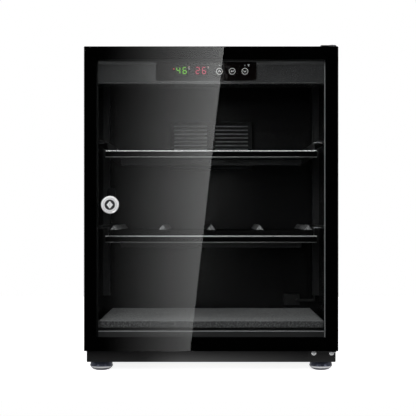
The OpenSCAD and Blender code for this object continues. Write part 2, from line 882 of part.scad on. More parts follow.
// Slotted front of the case
module dry_unit_grille() {
    n = floor((case_h - 4 * case_t) / grille_pitch);
    color([0.13, 0.13, 0.135]) difference() {
        block([-case_w / 2, case_w / 2], [case_y0, case_y0 + grille_t], [case_z, case_z + case_h]);
        for (i = [0:n - 1], s = [-1, 1])
            block([s * case_w / 4 - case_w / 5, s * case_w / 4 + case_w / 5],
                [case_y0 - cut, case_y0 + grille_t + cut],
                [case_mid_z + (i - (n - 1) / 2) * grille_pitch - grille_slot / 2,
                    case_mid_z + (i - (n - 1) / 2) * grille_pitch + grille_slot / 2]);
    }
}

// Louvred cover over the cut-out, on the outside of the back panel
module dry_unit_cover() {
    w = cutout_w / 2 + cover_over;
    h = cutout_h / 2 + cover_over;
    n = floor((2 * h - 4 * cover_t) / grille_pitch);
    color([0.05, 0.05, 0.055]) difference() {
        block([-w, w], [back_y, back_y + cover_proud], [case_mid_z - h, case_mid_z + h]);
        block([-w + cover_t, w - cover_t], [back_y - cut, back_y + cover_proud - cover_t],
            [case_mid_z - h + cover_t, case_mid_z + h - cover_t]);
        for (i = [0:n - 1], s = [-1, 1])
            block([s * w / 2 - w / 2.5, s * w / 2 + w / 2.5],
                [back_y, back_y + cover_proud + cut],
                [case_mid_z + (i - (n - 1) / 2) * grille_pitch - grille_slot / 2,
                    case_mid_z + (i - (n - 1) / 2) * grille_pitch + grille_slot / 2]);
    }
}

// Block of desiccant, on ledges of the heater plate
module desiccant_pack() {
    color([0.85, 0.83, 0.78])
        block([-pack_w / 2, pack_w / 2], [heater_y0 - pack_d, heater_y0],
            [case_mid_z - pack_h / 2, case_mid_z + pack_h / 2]);
}

// Heater plate across the case, which also guides the shutter's rods
module heater_plate() {
    color([0.7, 0.7, 0.72]) difference() {
        block([-case_w / 2 + case_t, case_w / 2 - case_t], [heater_y0, heater_y0 + heater_t],
            [case_z + case_t, case_z + case_h - case_t]);
        for (s = [-1, 1])
            bar_y(s * rod_x, case_mid_z, [heater_y0 - cut, heater_y0 + heater_t + cut],
                rod_r + run_gap);
    }
}

// The shutter: an inner and an outer plate joined by two rods
module shutter_carriage() {
    w = cutout_w / 2 + plate_lap;
    h = cutout_h / 2 + plate_lap;
    color([0.6, 0.6, 0.62]) union() {
        for (y = [inner_plate_y, outer_plate_y])
            block([-w, w], [y, y + plate_t], [case_mid_z - h, case_mid_z + h]);
        for (s = [-1, 1])
            bar_y(s * rod_x, case_mid_z, [inner_plate_y, outer_plate_y + plate_t], rod_r);
    }
}

// Points around a wire that winds along Y, one ring for each angle
function coil_points(turns, length, r, wire, around, steps) =
    [for (i = [0:steps], j = [0:around - 1])
        let (a = 360 * turns * i / steps, b = 360 * j / around, rr = r + wire * cos(b))
            [rr * cos(a), wire + (length - 2 * wire) * i / steps + wire * sin(b), rr * sin(a)]];

// A helical spring along Y, as one unbroken wire with flat ends
module coil_spring(length, r, wire, turns) {
    around = 5;
    steps = 12 * turns;
    side = [for (i = [0:steps - 1], j = [0:around - 1], k = [0, 1])
        let (a = i * around + j, b = i * around + (j + 1) % around)
            k == 0 ? [a, b, b + around] : [a, b + around, a + around]];
    ends = [[for (j = [around - 1:-1:0]) j], [for (j = [0:around - 1]) steps * around + j]];
    polyhedron(points = coil_points(turns, length, r, wire, around, steps),
        faces = concat(side, ends));
}

// Memory-metal springs, around the rods in front of the heater plate
module memory_spring() {
    y0 = inner_plate_y + plate_t + spring_gap;
    color([0.75, 0.72, 0.6]) both_sides()
        translate([rod_x, y0, case_mid_z])
            coil_spring(heater_y0 - spring_gap - y0, spring_r, spring_wire, memory_turns);
}

// Return springs, around the rods behind the heater plate
module bias_spring() {
    y0 = heater_y0 + heater_t + spring_gap;
    color("silver") both_sides()
        translate([rod_x, y0, case_mid_z])
            coil_spring(outer_plate_y - spring_gap - y0, spring_r, spring_wire, bias_turns);
}

// Socket for the mains lead, with two blades in a recess that opens to the rear
module power_inlet() {
    y0 = panel_y - inlet_d;
    y1 = back_y + inlet_proud;
    color([0.04, 0.04, 0.04]) union() {
        difference() {
            union() {
                block([inlet_x - inlet_w / 2, inlet_x + inlet_w / 2], [y0, y1],
                    [inlet_z - inlet_h / 2, inlet_z + inlet_h / 2]);
                block([inlet_x - inlet_w / 2 - inlet_wall, inlet_x + inlet_w / 2 + inlet_wall],
                    [back_y, y1],
                    [inlet_z - inlet_h / 2 - inlet_wall, inlet_z + inlet_h / 2 + inlet_wall]);
            }
            round_plate([inlet_x - inlet_w / 2 + inlet_wall, inlet_x + inlet_w / 2 - inlet_wall],
                [y0 + 2 * inlet_wall, y1 + cut],
                [inlet_z - inlet_h / 2 + inlet_wall, inlet_z + inlet_h / 2 - inlet_wall],
                inlet_wall);
        }
        for (s = [-1, 1])
            bar_y(inlet_x + s * blade_pitch / 2, inlet_z,
                [y0 + inlet_wall, y0 + 2 * inlet_wall + blade_l], blade_r);
    }
}

// Wires along the rear corner, to the board over the shelves and to the drying unit
module wiring_harness() {
    start = [inlet_x + inlet_w / 2 - inlet_wall - wire_r, panel_y - inlet_d, inlet_z];
    low = [start[0], wire_y, inlet_z];
    corner = [wire_x, wire_y, inlet_z];
    top = [wire_x, wire_y, wire_z];
    front = [wire_x, housing_y1 + sensor_size[1], wire_z];
    branch = [wire_x, wire_y, branch_z];
    color([0.08, 0.08, 0.08]) union() {
        run(start, low, wire_r);
        run(low, corner, wire_r);
        run(corner, top, wire_r);
        run(top, front, wire_r);
        run(front, [front[0], housing_y1, front[2]], wire_r, false);
        run(branch, [case_w / 2, wire_y, branch_z], wire_r, false);
    }
}

module foot_nuts() {
    color("silver") for (p = foot_places()) difference() {
        translate([p[0], p[1], under_z + sheet_t]) cylinder(h = foot_nut_h, r = foot_nut_r, $fn = 6);
        bar_z(p[0], p[1], [under_z, under_z + foot_nut_h + cut], stud_r + thread_gap);
    }
}

module rear_screws() {
    color([0.1, 0.1, 0.1]) for (p = rear_screw_places()) {
        bar_y(p[0], p[1], [back_y - rear_screw_l, back_y], rear_screw_r);
        bar_y(p[0], p[1], [back_y, back_y + rear_head_t], rear_head_r);
    }
}

// Plate on the roof whose tongue reaches over the door to the upper pin
module upper_hinge_bracket() {
    z = [roof_z, roof_z + bracket_t];
    color([0.06, 0.06, 0.065]) difference() {
        union() {
            block([half_w - upper_plate_w + tongue_r, half_w], [hinge_y, front_y + upper_plate_d], z);
            block([half_w - upper_plate_w, half_w], [front_y, front_y + upper_plate_d], z);
            block([half_w - upper_plate_w + tongue_r, hinge_x], [hinge_y - tongue_r, hinge_y], z);
            bar_z(hinge_x, hinge_y, z, tongue_r);
        }
        bar_z(hinge_x, hinge_y, [z[0] - cut, z[1] + cut], pin_r + run_gap);
        for (x = upper_screw_x)
            bar_z(half_w - x, front_y + upper_screw_back, [z[0] - cut, z[1] + cut],
                hinge_screw_r + fit_gap);
    }
}

// Plate on the base's front whose tongue reaches under the door to the lower pin
module lower_hinge_bracket() {
    z1 = door_z0 - tongue_gap;
    z = [z1 - bracket_t, z1];
    color([0.06, 0.06, 0.065]) difference() {
        union() {
            block([half_w - lower_plate_w, half_w], [front_y - bracket_t, front_y],
                [under_z + lower_plate_low, z1]);
            block([half_w - lower_tongue_w, half_w - lower_notch_w], [hinge_y, front_y], z);
            block([half_w - lower_tongue_w, hinge_x], [hinge_y - tongue_r, hinge_y], z);
            bar_z(hinge_x, hinge_y, z, tongue_r);
        }
        bar_z(hinge_x, hinge_y, [z[0] - cut, z[1] + cut], pin_r + run_gap);
        for (x = lower_screw_x)
            bar_y(half_w - x, lower_screw_z, [front_y - bracket_t - cut, front_y + cut],
                hinge_screw_r + fit_gap);
    }
}

// The upper pin hangs from its head, the lower one stands on its own
module hinge_pins() {
    low = door_z0 - tongue_gap;
    color("silver") union() {
        bar_z(hinge_x, hinge_y, [door_z1 - frame_in - bush_l + soft_gap, roof_z + bracket_t], pin_r);
        bar_z(hinge_x, hinge_y, [roof_z + bracket_t, roof_z + bracket_t + pin_head_t], pin_head_r);
        bar_z(hinge_x, hinge_y, [low - bracket_t, door_z0 + frame_in + bush_l - soft_gap], pin_r);
        bar_z(hinge_x, hinge_y, [low - bracket_t - pin_head_t, low - bracket_t], pin_head_r);
    }
}

// Pan head screws of both brackets, seated on the brackets' faces
module hinge_screws() {
    color([0.8, 0.8, 0.82]) union() {
        for (x = upper_screw_x) {
            bar_z(half_w - x, front_y + upper_screw_back,
                [roof_z + fit_gap, roof_z + bracket_t], hinge_screw_r);
            bar_z(half_w - x, front_y + upper_screw_back,
                [roof_z + bracket_t, roof_z + bracket_t + hinge_head_t], hinge_head_r);
        }
        for (x = lower_screw_x) {
            bar_y(half_w - x, lower_screw_z, [front_y - bracket_t, front_y - fit_gap], hinge_screw_r);
            bar_y(half_w - x, lower_screw_z,
                [front_y - bracket_t - hinge_head_t, front_y - bracket_t], hinge_head_r);
        }
    }
}

// Wear plate behind the flange, where the lock's cam passes
module lock_strike() {
    color("silver")
        block([-mouth_x - strike_w, -mouth_x], [inner_y, inner_y + strike_t],
            [lock_z - strike_h / 2, lock_z + strike_h / 2]);
}

module door_glass() {
    color([0.1, 0.12, 0.13, 0.5]) difference() {
        round_plate([-door_x, door_x], [glass_y0, glass_y1], [door_z0, door_z1], glass_r);
        bar_y(lock_x, lock_z, [glass_y0 - cut, glass_y1 + cut], barrel_r + barrel_gap);
    }
}

// Black border printed on the back of the glass
module glass_border() {
    color([0.01, 0.01, 0.01]) difference() {
        round_plate([-door_x, door_x], [glass_y1, print_y1], [door_z0, door_z1], glass_r);
        block([-door_x + border_side, door_x - border_side], [glass_y1 - cut, print_y1 + cut],
            [door_z0 + border_foot, door_z1 - border_top]);
    }
}

// Frame glued behind the border, with a groove for the seal and seats for the bushes
module door_frame() {
    color([0.05, 0.05, 0.055]) difference() {
        ring_y([-door_x + frame_in, door_x - frame_in], [print_y1, frame_y1],
            [door_z0 + frame_in, door_z1 - frame_in], frame_w);
        seal_ring(dart_w + 2 * fit_gap, [frame_y1 - dart_d - fit_gap, frame_y1 + cut]);
        bar_z(hinge_x, hinge_y, [door_z0, door_z0 + frame_in + bush_l], bush_r);
        bar_z(hinge_x, hinge_y, [door_z1 - frame_in - bush_l, door_z1], bush_r);
    }
}

// A ring of the seal's outline, of any bar width, centred on the middle of the seal's bars
module seal_ring(w, y) {
    side = seal_in_side + (seal_w - w) / 2;
    end = seal_in_end + (seal_w - w) / 2;
    ring_y([-door_x + side, door_x - side], y, [door_z0 + end, door_z1 - end], w);
}

// Magnetic seal, with the dart that holds it in the frame's groove
module door_gasket() {
    color([0.08, 0.08, 0.08]) union() {
        seal_ring(seal_w, [frame_y1, front_y - soft_gap]);
        seal_ring(dart_w, [frame_y1 - dart_d, frame_y1 + fit_gap]);
    }
}

// Flanged bushes in the frame's upper and lower bar
module hinge_bushes() {
    color([0.85, 0.85, 0.8]) for (end = [[door_z0 + frame_in, 1], [door_z1 - frame_in, -1]])
        translate([hinge_x, hinge_y, end[0]]) mirror([0, 0, end[1] < 0 ? 1 : 0]) difference() {
            union() {
                cylinder(h = bush_l, r = bush_r);
                translate([0, 0, -bush_flange_t]) cylinder(h = bush_flange_t, r = bush_flange_r);
            }
            translate([0, 0, -cut]) cylinder(h = bush_l + 2 * cut, r = pin_r + run_gap);
        }
}

// The lock's fixed part: a domed bezel in front of the glass and a barrel through it
module lock_housing() {
    color([0.75, 0.75, 0.76]) difference() {
        translate([lock_x, glass_y0, lock_z]) rotate([90, 0, 0]) union() {
            rotate_extrude() polygon([[0, 0], [bezel_r, 0], [bezel_r, bezel_h / 3],
                [bezel_r - bezel_h / 6, bezel_h * 2 / 3], [bezel_r - bezel_h / 2, bezel_h], [0, bezel_h]]);
            translate([0, 0, glass_y0 - barrel_y1]) cylinder(h = barrel_y1 - glass_y0, r = barrel_r);
        }
        bar_y(lock_x, lock_z, [glass_y0 - bezel_h - cut, glass_y0 - bezel_h + bezel_cup_d], bezel_cup_r);
        bar_y(lock_x, lock_z, [glass_y0 - bezel_h - cut, barrel_y1 + cut], plug_r + plug_gap);
    }
}

module lock_nut() {
    color("silver") difference() {
        translate([lock_x, glass_y1 + washer_t, lock_z]) rotate([-90, 0, 0])
            cylinder(h = nut_t, r = nut_r, $fn = 6);
        bar_y(lock_x, lock_z, [glass_y1, glass_y1 + washer_t + nut_t + cut], barrel_r + run_gap);
    }
}

module lock_washer() {
    color([0.1, 0.1, 0.1]) difference() {
        bar_y(lock_x, lock_z, [glass_y1, glass_y1 + washer_t], nut_r);
        bar_y(lock_x, lock_z, [glass_y1 - cut, glass_y1 + washer_t + cut], barrel_r + run_gap);
    }
}

// The plug that a key turns, with a square tang for the cam
module lock_plug() {
    color([0.8, 0.8, 0.8]) difference() {
        union() {
            bar_y(lock_x, lock_z, [glass_y0 - bezel_h, barrel_y1], plug_r);
            block([lock_x - tang_w / 2, lock_x + tang_w / 2], [barrel_y1 - fit_gap, cam_y0 + cam_t],
                [lock_z - tang_w / 2, lock_z + tang_w / 2]);
        }
        block([lock_x - keyway_w / 2, lock_x + keyway_w / 2],
            [glass_y0 - bezel_h - cut, glass_y0 - bezel_h + keyway_d],
            [lock_z - keyway_h / 2, lock_z + keyway_h / 2]);
    }
}

// The cam, which points up when the door is free, and the screw that holds it
module lock_cam() {
    y = [cam_y0, cam_y0 + cam_t];
    color("silver") union() {
        difference() {
            union() {
                bar_y(lock_x, lock_z, y, cam_w / 2);
                block([lock_x - cam_w / 2, lock_x + cam_w / 2], y,
                    [lock_z, lock_z + cam_reach - cam_w / 2]);
                bar_y(lock_x, lock_z + cam_reach - cam_w / 2, y, cam_w / 2);
            }
            block([lock_x - tang_w / 2 - run_gap, lock_x + tang_w / 2 + run_gap],
                [y[0] - cut, y[1] + cut],
                [lock_z - tang_w / 2 - run_gap, lock_z + tang_w / 2 + run_gap]);
        }
        bar_y(lock_x, lock_z, [y[1], y[1] + cam_screw_t], cam_screw_r + tang_w / 4);
    }
}

// A levelling foot: a bowl that stands on its small round sole, and the stud that turns in its nut
module foot(x, y) {
    color([0.2, 0.22, 0.26]) translate([x, y, 0]) union() {
        rotate_extrude() polygon([[0, 0], [sole_r, 0], [sole_edge_r, sole_t], [bowl_r, bowl_z],
            [foot_r, foot_belly_z], [foot_neck_r, foot_h - foot_gap], [0, foot_h - foot_gap]]);
        translate([0, 0, foot_h - foot_gap - fit_gap])
            cylinder(h = fit_gap + foot_gap + sheet_t + foot_nut_h + stud_over + foot_travel, r = stud_r);
    }
}

module foot_front_left() {
    foot(-foot_x, front_y + foot_front);
}

module foot_front_right() {
    foot(foot_x, front_y + foot_front);
}

module foot_rear_left() {
    foot(-foot_x, back_y - foot_back);
}

module foot_rear_right() {
    foot(foot_x, back_y - foot_back);
}

cabinet_shell();
back_panel();
base_pan();
floor_panel();
floor_mat();
control_fascia();
control_housing();
display_panel();
display_modules();
control_board();
board_screws();
humidity_digits();
temperature_digits();
status_lamps();
humidity_sensor();
uprights_left();
uprights_right();
upper_runners();
lower_runners();
dry_unit_case();
dry_unit_grille();
dry_unit_cover();
desiccant_pack();
heater_plate();
power_inlet();
wiring_harness();
foot_nuts();
rear_screws();
upper_hinge_bracket();
lower_hinge_bracket();
hinge_pins();
hinge_screws();
lock_strike();
upper_shelf();
upper_shelf_trim();
upper_mat();
lower_shelf();
lower_shelf_trim();
lens_cradle();
shutter_carriage();
memory_spring();
bias_spring();
door_glass();
glass_border();
door_frame();
door_gasket();
hinge_bushes();
lock_housing();
lock_nut();
lock_washer();
lock_plug();
lock_cam();
up_button();
set_button();
down_button();
foot_front_left();
foot_front_right();
foot_rear_left();
foot_rear_right();
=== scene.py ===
# %% [markdown]
# # A camera dry cabinet
# This script dresses a camera dry cabinet: a black steel box with a framed glass door, two shelves
# that slide, foam beds for what is stored, and a lit display over the top shelf. The steel, glass and
# lock parts arrive as a finished model. They keep their shapes and get their finishes here. Foam,
# printed marks and bright edges are made here as new pieces.
# %% Load the model
import json
import math
import bpy
import numpy as np
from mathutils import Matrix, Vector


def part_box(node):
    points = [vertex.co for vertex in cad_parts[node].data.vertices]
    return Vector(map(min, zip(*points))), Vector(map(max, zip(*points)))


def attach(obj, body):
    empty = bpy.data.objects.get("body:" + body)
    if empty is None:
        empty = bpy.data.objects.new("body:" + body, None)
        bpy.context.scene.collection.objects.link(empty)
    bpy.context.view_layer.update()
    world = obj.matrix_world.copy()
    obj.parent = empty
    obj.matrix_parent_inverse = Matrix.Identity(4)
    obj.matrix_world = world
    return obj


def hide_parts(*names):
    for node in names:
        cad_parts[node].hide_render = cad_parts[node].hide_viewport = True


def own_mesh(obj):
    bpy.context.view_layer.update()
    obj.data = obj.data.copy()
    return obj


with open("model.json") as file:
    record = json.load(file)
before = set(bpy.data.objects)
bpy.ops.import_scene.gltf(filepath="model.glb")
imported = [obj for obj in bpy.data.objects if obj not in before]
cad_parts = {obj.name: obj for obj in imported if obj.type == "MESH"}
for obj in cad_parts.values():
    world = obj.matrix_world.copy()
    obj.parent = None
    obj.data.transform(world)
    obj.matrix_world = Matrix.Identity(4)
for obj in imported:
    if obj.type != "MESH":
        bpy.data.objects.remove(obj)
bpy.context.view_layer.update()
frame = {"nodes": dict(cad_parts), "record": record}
record = frame["record"]
nodes_of = frame["nodes"]
mm = 0.001

# %% [markdown]
# ## The camera
# The photograph is taken from straight in front, about two metres away, a little above the middle of
# the glass. In its 416 pixels a length of one metre at one metre's distance covers 1208.4 pixels,
# which gives the lens. The point straight ahead of the lens lies 3.15 pixels right of the picture's
# middle and 7 pixels below it, so the lens is shifted by those shares of the picture's width.
# %% The camera
PICTURE = 416
SENSOR = 36
FOCAL_PIXELS = 1208.4
AHEAD_PIXEL = (211.15, 215.0)
DOOR_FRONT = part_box("door_glass")[0].y
CAMERA_DISTANCE = 1.9
CAMERA_HEIGHT = 0.2494


def in_scene(name, data):
    """An object that shows a mesh, lamp or camera in the scene."""
    made = bpy.data.objects.new(name, data)
    bpy.context.scene.collection.objects.link(made)
    return made


camera = in_scene("camera", bpy.data.cameras.new("camera"))
camera.location = (0, DOOR_FRONT - CAMERA_DISTANCE, CAMERA_HEIGHT)
camera.rotation_euler = (math.radians(90), 0, 0)
camera.data.sensor_width = SENSOR
camera.data.lens = SENSOR * FOCAL_PIXELS / PICTURE
camera.data.shift_x = (PICTURE / 2 - AHEAD_PIXEL[0]) / PICTURE
camera.data.shift_y = (AHEAD_PIXEL[1] - PICTURE / 2) / PICTURE
bpy.context.scene.camera = camera
bpy.context.scene.view_settings.view_transform = "Standard"
print("lens", round(camera.data.lens, 2), "mm")

# %% [markdown]
# ## Helpers for meshes
# Every new piece is a grid of points worked out by a formula. The points are numbered row by row, so
# the faces follow from the numbers alone. They must point out: the sum of the small pyramids between
# the origin and each face is the volume, and if that comes out negative, all faces are turned over.
# %% Helpers for meshes
def grid_quads(rows, columns, around=False):
    """Faces of a grid of points numbered row by row. With around, the last column joins the first."""
    n = np.arange(rows * columns).reshape(rows, columns)
    if around:
        n = np.concatenate([n, n[:, :1]], 1)
    return np.stack([n[:-1, :-1], n[1:, :-1], n[1:, 1:], n[:-1, 1:]], -1).reshape(-1, 4)


def volume_of(points, faces):
    """Signed volume: each face is cut into triangles, and every triangle makes a pyramid with the
    origin, of a sixth of the triple product of its corners."""
    total = 0.0
    for size in {len(f) for f in faces}:
        f = np.array([g for g in faces if len(g) == size])
        for k in range(1, size - 1):
            a, b, c = points[f[:, 0]], points[f[:, k]], points[f[:, k + 1]]
            total += float((a * np.cross(b, c)).sum()) / 6
    return total


def piece(name, points, faces, finish, body, slot, smooth_degrees=30):
    """Makes a closed mesh, turns its faces outwards, and lets it ride on a body of the model."""
    points = np.asarray(points, float).reshape(-1, 3)
    faces = [tuple(int(i) for i in f) for f in faces]
    if volume_of(points, faces) < 0:
        faces = [f[::-1] for f in faces]
    mesh = bpy.data.meshes.new(name)
    mesh.from_pydata(points, [], faces)
    mesh.polygons.foreach_set("use_smooth", np.ones(len(faces), bool))
    mesh.set_sharp_from_angle(angle=math.radians(smooth_degrees))
    mesh.materials.append(finish.material)
    made = in_scene(name, mesh)
    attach(made, body)
    return made


def skin(outlines, ring=False):
    """Points and faces of a closed skin over a row of closed outlines, shaped (rows, points, 3). Its
    two ends get flat caps, unless the row of outlines closes into a ring."""
    outlines = np.asarray(outlines, float)
    rows, columns = outlines.shape[:2]
    count = rows * columns
    faces = (grid_quads(rows + ring, columns, around=True) % count).tolist()
    if not ring:
        faces += [list(range(columns))[::-1], list(range(count - columns, count))]
    return outlines.reshape(-1, 3), faces


def together(parts):
    """Joins several lots of points and faces into one."""
    points, faces, start = [], [], 0
    for p, f in parts:
        points.append(np.asarray(p, float).reshape(-1, 3))
        faces += [[i + start for i in g] for g in f]
        start += len(points[-1])
    return np.concatenate(points), faces


# %% [markdown]
# ## Helpers for finishes
# Each finish is a few nodes round a Principled shader. Patterns read Object coordinates, so they sit
# still on the piece and keep their size in metres. Only what changes over the surface comes from a
# pattern. The sky's nodes are laid with the same few steps.
# %% Helpers for finishes
class Nodes:
    """A tree of nodes under construction, with the steps that materials and sky share."""

    def __init__(self, tree):
        self.tree = tree

    def node(self, kind, **settings):
        """Adds a node and sets what is named: inputs by name in 'inputs', the rest as attributes."""
        n = self.tree.nodes.new(kind)
        for key, value in settings.pop("inputs", {}).items():
            n.inputs[key].default_value = value
        for key, value in settings.items():
            setattr(n, key, value)
        return n

    def link(self, source, target):
        """Feeds an input from an output."""
        self.tree.links.new(source, target)

    def through(self, kind, sources, output, **settings):
        """Adds a node, links what feeds its inputs, and gives back one of its outputs."""
        n = self.node(kind, **settings)
        for key, source in sources.items():
            self.link(source, n.inputs[key])
        return n.outputs[output]

    def two(self, operation, first, second, clamp=False):
        """One number from two, such as their product or the larger one."""
        return self.through("ShaderNodeMath", {0: first, 1: second}, 0,
                            operation=operation, use_clamp=clamp)

    def with_number(self, operation, first, number):
        """One number from another and a fixed one."""
        return self.through("ShaderNodeMath", {0: first}, 0, operation=operation, inputs={1: number})

    def along(self, axis, vector=None):
        """One coordinate of a vector, which is the place on the object unless another is given."""
        return self.through("ShaderNodeSeparateXYZ", {"Vector": vector or self.place}, axis)

    def span(self, source, low, high, to_low=0.0, to_high=1.0, kind="LINEAR"):
        """Carries values from low..high to to_low..to_high, and holds them there past the ends."""
        return self.through("ShaderNodeMapRange", {"Value": source}, "Result", interpolation_type=kind,
                            inputs={"From Min": low, "From Max": high, "To Min": to_low, "To Max": to_high})

    def show(self, shader):
        """Shows a shader on the surface."""
        self.link(shader, self.tree.nodes["Material Output"].inputs["Surface"])

    def choose(self, share, first, second):
        """Shows one shader or the other, by share."""
        self.show(self.through("ShaderNodeMixShader", {0: share, 1: first, 2: second}, 0))


class Finish(Nodes):
    """A material under construction, with the few steps that finishes share."""

    def __init__(self, name, colour, roughness, metallic=0.0):
        self.name = name
        self.material = bpy.data.materials.new(name)
        self.material.use_nodes = True
        super().__init__(self.material.node_tree)
        self.shader = self.tree.nodes["Principled BSDF"]
        self.fix({"Base Color": (*colour, 1), "Roughness": roughness, "Metallic": metallic})
        self.place = self.node("ShaderNodeTexCoord").outputs["Object"]

    def fix(self, values):
        """Sets plain values on the shader."""
        for key, value in values.items():
            self.shader.inputs[key].default_value = value

    def stretched(self, scale, shift=(0, 0, 0)):
        """Object coordinates stretched along the axes, then shifted."""
        return self.through("ShaderNodeMapping", {"Vector": self.place}, "Vector",
                            inputs={"Scale": scale, "Location": shift})

    def noise(self, size, detail=3.0, place=None):
        """A soft random pattern whose blotches are about size metres across."""
        return self.through("ShaderNodeTexNoise", {"Vector": place or self.place}, "Fac",
                            inputs={"Scale": 1 / size, "Detail": detail})

    def cells(self, size, feature="F1"):
        """Distance to the nearest of scattered points about size metres apart: grains and pores."""
        return self.through("ShaderNodeTexVoronoi", {"Vector": self.place}, "Distance",
                            feature=feature, inputs={"Scale": 1 / size})

    def blend(self, share, first, second):
        """A colour that goes from first to second as share goes from 0 to 1."""
        n = self.node("ShaderNodeMix", data_type="RGBA")
        n.inputs["A"].default_value = (*first, 1)
        n.inputs["B"].default_value = (*second, 1)
        self.link(share, n.inputs["Factor"])
        return n.outputs["Result"]

    def colours(self, share, first, second):
        """Base colour from first to second by share."""
        self.link(self.blend(share, first, second), self.shader.inputs["Base Color"])

    def sheen_of(self, share, first, second):
        """Roughness from first to second over the middle of a pattern's range."""
        self.link(self.span(share, 0.3, 0.7, first, second), self.shader.inputs["Roughness"])

    def relief(self, pattern, depth, strength=1.0, round_edges=0.0):
        """Bump from a pattern, depth in metres. round_edges softens sharp edges by that radius."""
        n = self.node("ShaderNodeBump", inputs={"Distance": depth, "Strength": strength})
        self.link(pattern, n.inputs["Height"])
        if round_edges:
            edge = self.node("ShaderNodeBevel", samples=4, inputs={"Radius": round_edges})
            self.link(edge.outputs["Normal"], n.inputs["Normal"])
        self.link(n.outputs["Normal"], self.shader.inputs["Normal"])


def painted(name, colour, roughness, grain=0.5 * mm, depth=0.02 * mm, round_edges=0.6 * mm):
    """Paint on sheet steel: the orange-peel relief of a baked powder coat, slight changes of tone over
    a hand's breadth, and sheet edges that catch the light."""
    f = Finish(name, colour, roughness)
    cloud = f.noise(60 * mm, 2.0)
    f.colours(cloud, [0.85 * c for c in colour], [1.15 * c for c in colour])
    f.sheen_of(f.noise(9 * mm), roughness * 0.9, min(1, roughness * 1.1))
    f.relief(f.noise(grain, 2.0), depth, round_edges=round_edges)
    return f


def moulded(name, colour, roughness, depth=0.01 * mm):
    """Moulded plastic: a fine spark-eroded texture and slightly uneven gloss."""
    f = Finish(name, colour, roughness)
    f.sheen_of(f.noise(4 * mm), roughness * 0.85, min(1, roughness * 1.15))
    f.relief(f.noise(0.35 * mm, 2.0), depth, round_edges=0.3 * mm)
    return f


def metal(name, colour, roughness, run=(1, 1, 1), size=0.8 * mm, depth=0.004 * mm):
    """Bare metal: fine marks of its making, drawn out along the axis whose entry in run is small."""
    f = Finish(name, colour, roughness, metallic=1.0)
    marks = f.noise(size, 3.0, f.stretched(run))
    f.sheen_of(marks, roughness * 0.7, min(1, roughness * 1.3))
    f.relief(marks, depth, round_edges=0.25 * mm)
    return f


# %% [markdown]
# ## Finishes of the model's own parts
# The cabinet is painted black inside and out. The fascia behind the glass is glossier, and its grey turns
# paler along its top: painted light over the shadow that the printed border casts there.
# %% Cabinet paint
BLACK, FASCIA, RUNNER = (0.0045, 0.0045, 0.0047), (0.027, 0.027, 0.0275), (0.014, 0.014, 0.0145)
FASCIA_TOP_PAINTED_LIGHT = (488 * mm, 497 * mm)
finishes = {}


def keep(*made):
    """Files finishes under their names, which are those of the record's slots."""
    finishes.update({f.name: f for f in made})


keep(painted("cabinet_black", BLACK, 0.24))
f = painted("fascia_grey", FASCIA, 0.12, depth=0.001 * mm)
# Paler towards the top: painted light over the printed border's shadow.
f.colours(f.span(f.along("Z"), *FASCIA_TOP_PAINTED_LIGHT), FASCIA, (0.17, 0.17, 0.172))
f.fix({"Specular IOR Level": 1.0, "Coat Weight": 1.0, "Coat Roughness": 0.12})
keep(f, painted("runner_grey", RUNNER, 0.38, round_edges=0.3 * mm),
     painted("screw_black", (0.02, 0.02, 0.022), 0.35, round_edges=0.3 * mm))
print("paints", sorted(finishes))

# %% [markdown]
# The display panel is polished and nearly black, with a trace of red from the filter in front of the
# figures. Vents, frame and socket are moulded and satin.
# %% Plastics
f = Finish("panel_gloss", (0.0022, 0.0014, 0.0013), 0.08)
f.colours(f.noise(25 * mm), (0.002, 0.0012, 0.0011), (0.0024, 0.0016, 0.0015))
keep(f, moulded("module_black", (0.008, 0.007, 0.007), 0.3),
     moulded("button_black", (0.008, 0.007, 0.007), 0.16, 0.002 * mm),
     moulded("frame_black", (0.006, 0.006, 0.0065), 0.34),
     moulded("vent_black", (0.008, 0.008, 0.0085), 0.5),
     moulded("socket_black", (0.01, 0.01, 0.01), 0.4),
     moulded("sensor_white", (0.62, 0.62, 0.6), 0.45),
     moulded("bush_white", (0.7, 0.7, 0.66), 0.4))
print("with plastics", len(finishes))

# %% [markdown]
# Soft seals and sleeves are matt, with a faint dusting that makes rubber paler in patches.
# %% Rubber
def rubber(name, colour):
    """Soft black rubber: matt, with a bloom of slightly paler patches."""
    f = Finish(name, colour, 0.75)
    bloom = f.noise(12 * mm, 4.0)
    f.colours(f.span(bloom, 0.4, 0.75), colour, [2.2 * c for c in colour])
    f.relief(f.noise(0.6 * mm), 0.02 * mm)
    return f


keep(rubber("seal_black", (0.012, 0.012, 0.0125)), rubber("washer_black", (0.014, 0.014, 0.014)),
     rubber("wire_black", (0.01, 0.01, 0.01)))
print("with rubber", len(finishes))

# %% [markdown]
# Metals: polished chrome on the lock, dull zinc on hidden fasteners, spring steel, and rolled
# aluminium for the shutter and the heater plate. The chrome is half matt white, a painted highlight from
# every side. The lock's bezel is a cup with painted shade near the axis and a thin ring of painted
# reflection round it. The plug's face is painted bright only in a lozenge round the key slot: a painted
# highlight.
# %% Metals
# Radii of the painted shade in the lock's cup, and of the thin ring of painted reflection round it.
CUP_DARK, CUP_BRIGHT = 7.5 * mm, 9.3 * mm
REFLECTED_RING, REFLECTED_RING_HALF, REFLECTED_RING_TONE = 10.4 * mm, 0.7 * mm, 0.45
LOZENGE = (4.4 * mm, 5.5 * mm)
LOCK_AXIS = 0.5 * (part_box("lock_plug")[0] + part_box("lock_plug")[1])


def chrome(name):
    """Bright chrome with a soft gloss, half matt white so that it shows bright from every side: a painted
    highlight.
    """
    f = metal(name, (0.9, 0.9, 0.91), 0.2, size=3 * mm, depth=0.002 * mm)
    # Half matt, so the chrome shows bright from every side: a painted highlight.
    f.fix({"Metallic": 0.45})
    return f


def from_axis(f, across, up):
    """Place seen from the lock's axis, in shares of a length across and a length up."""
    return f.stretched((1 / across, 0, 1 / up), (-LOCK_AXIS[0] / across, 0, -LOCK_AXIS[2] / up))


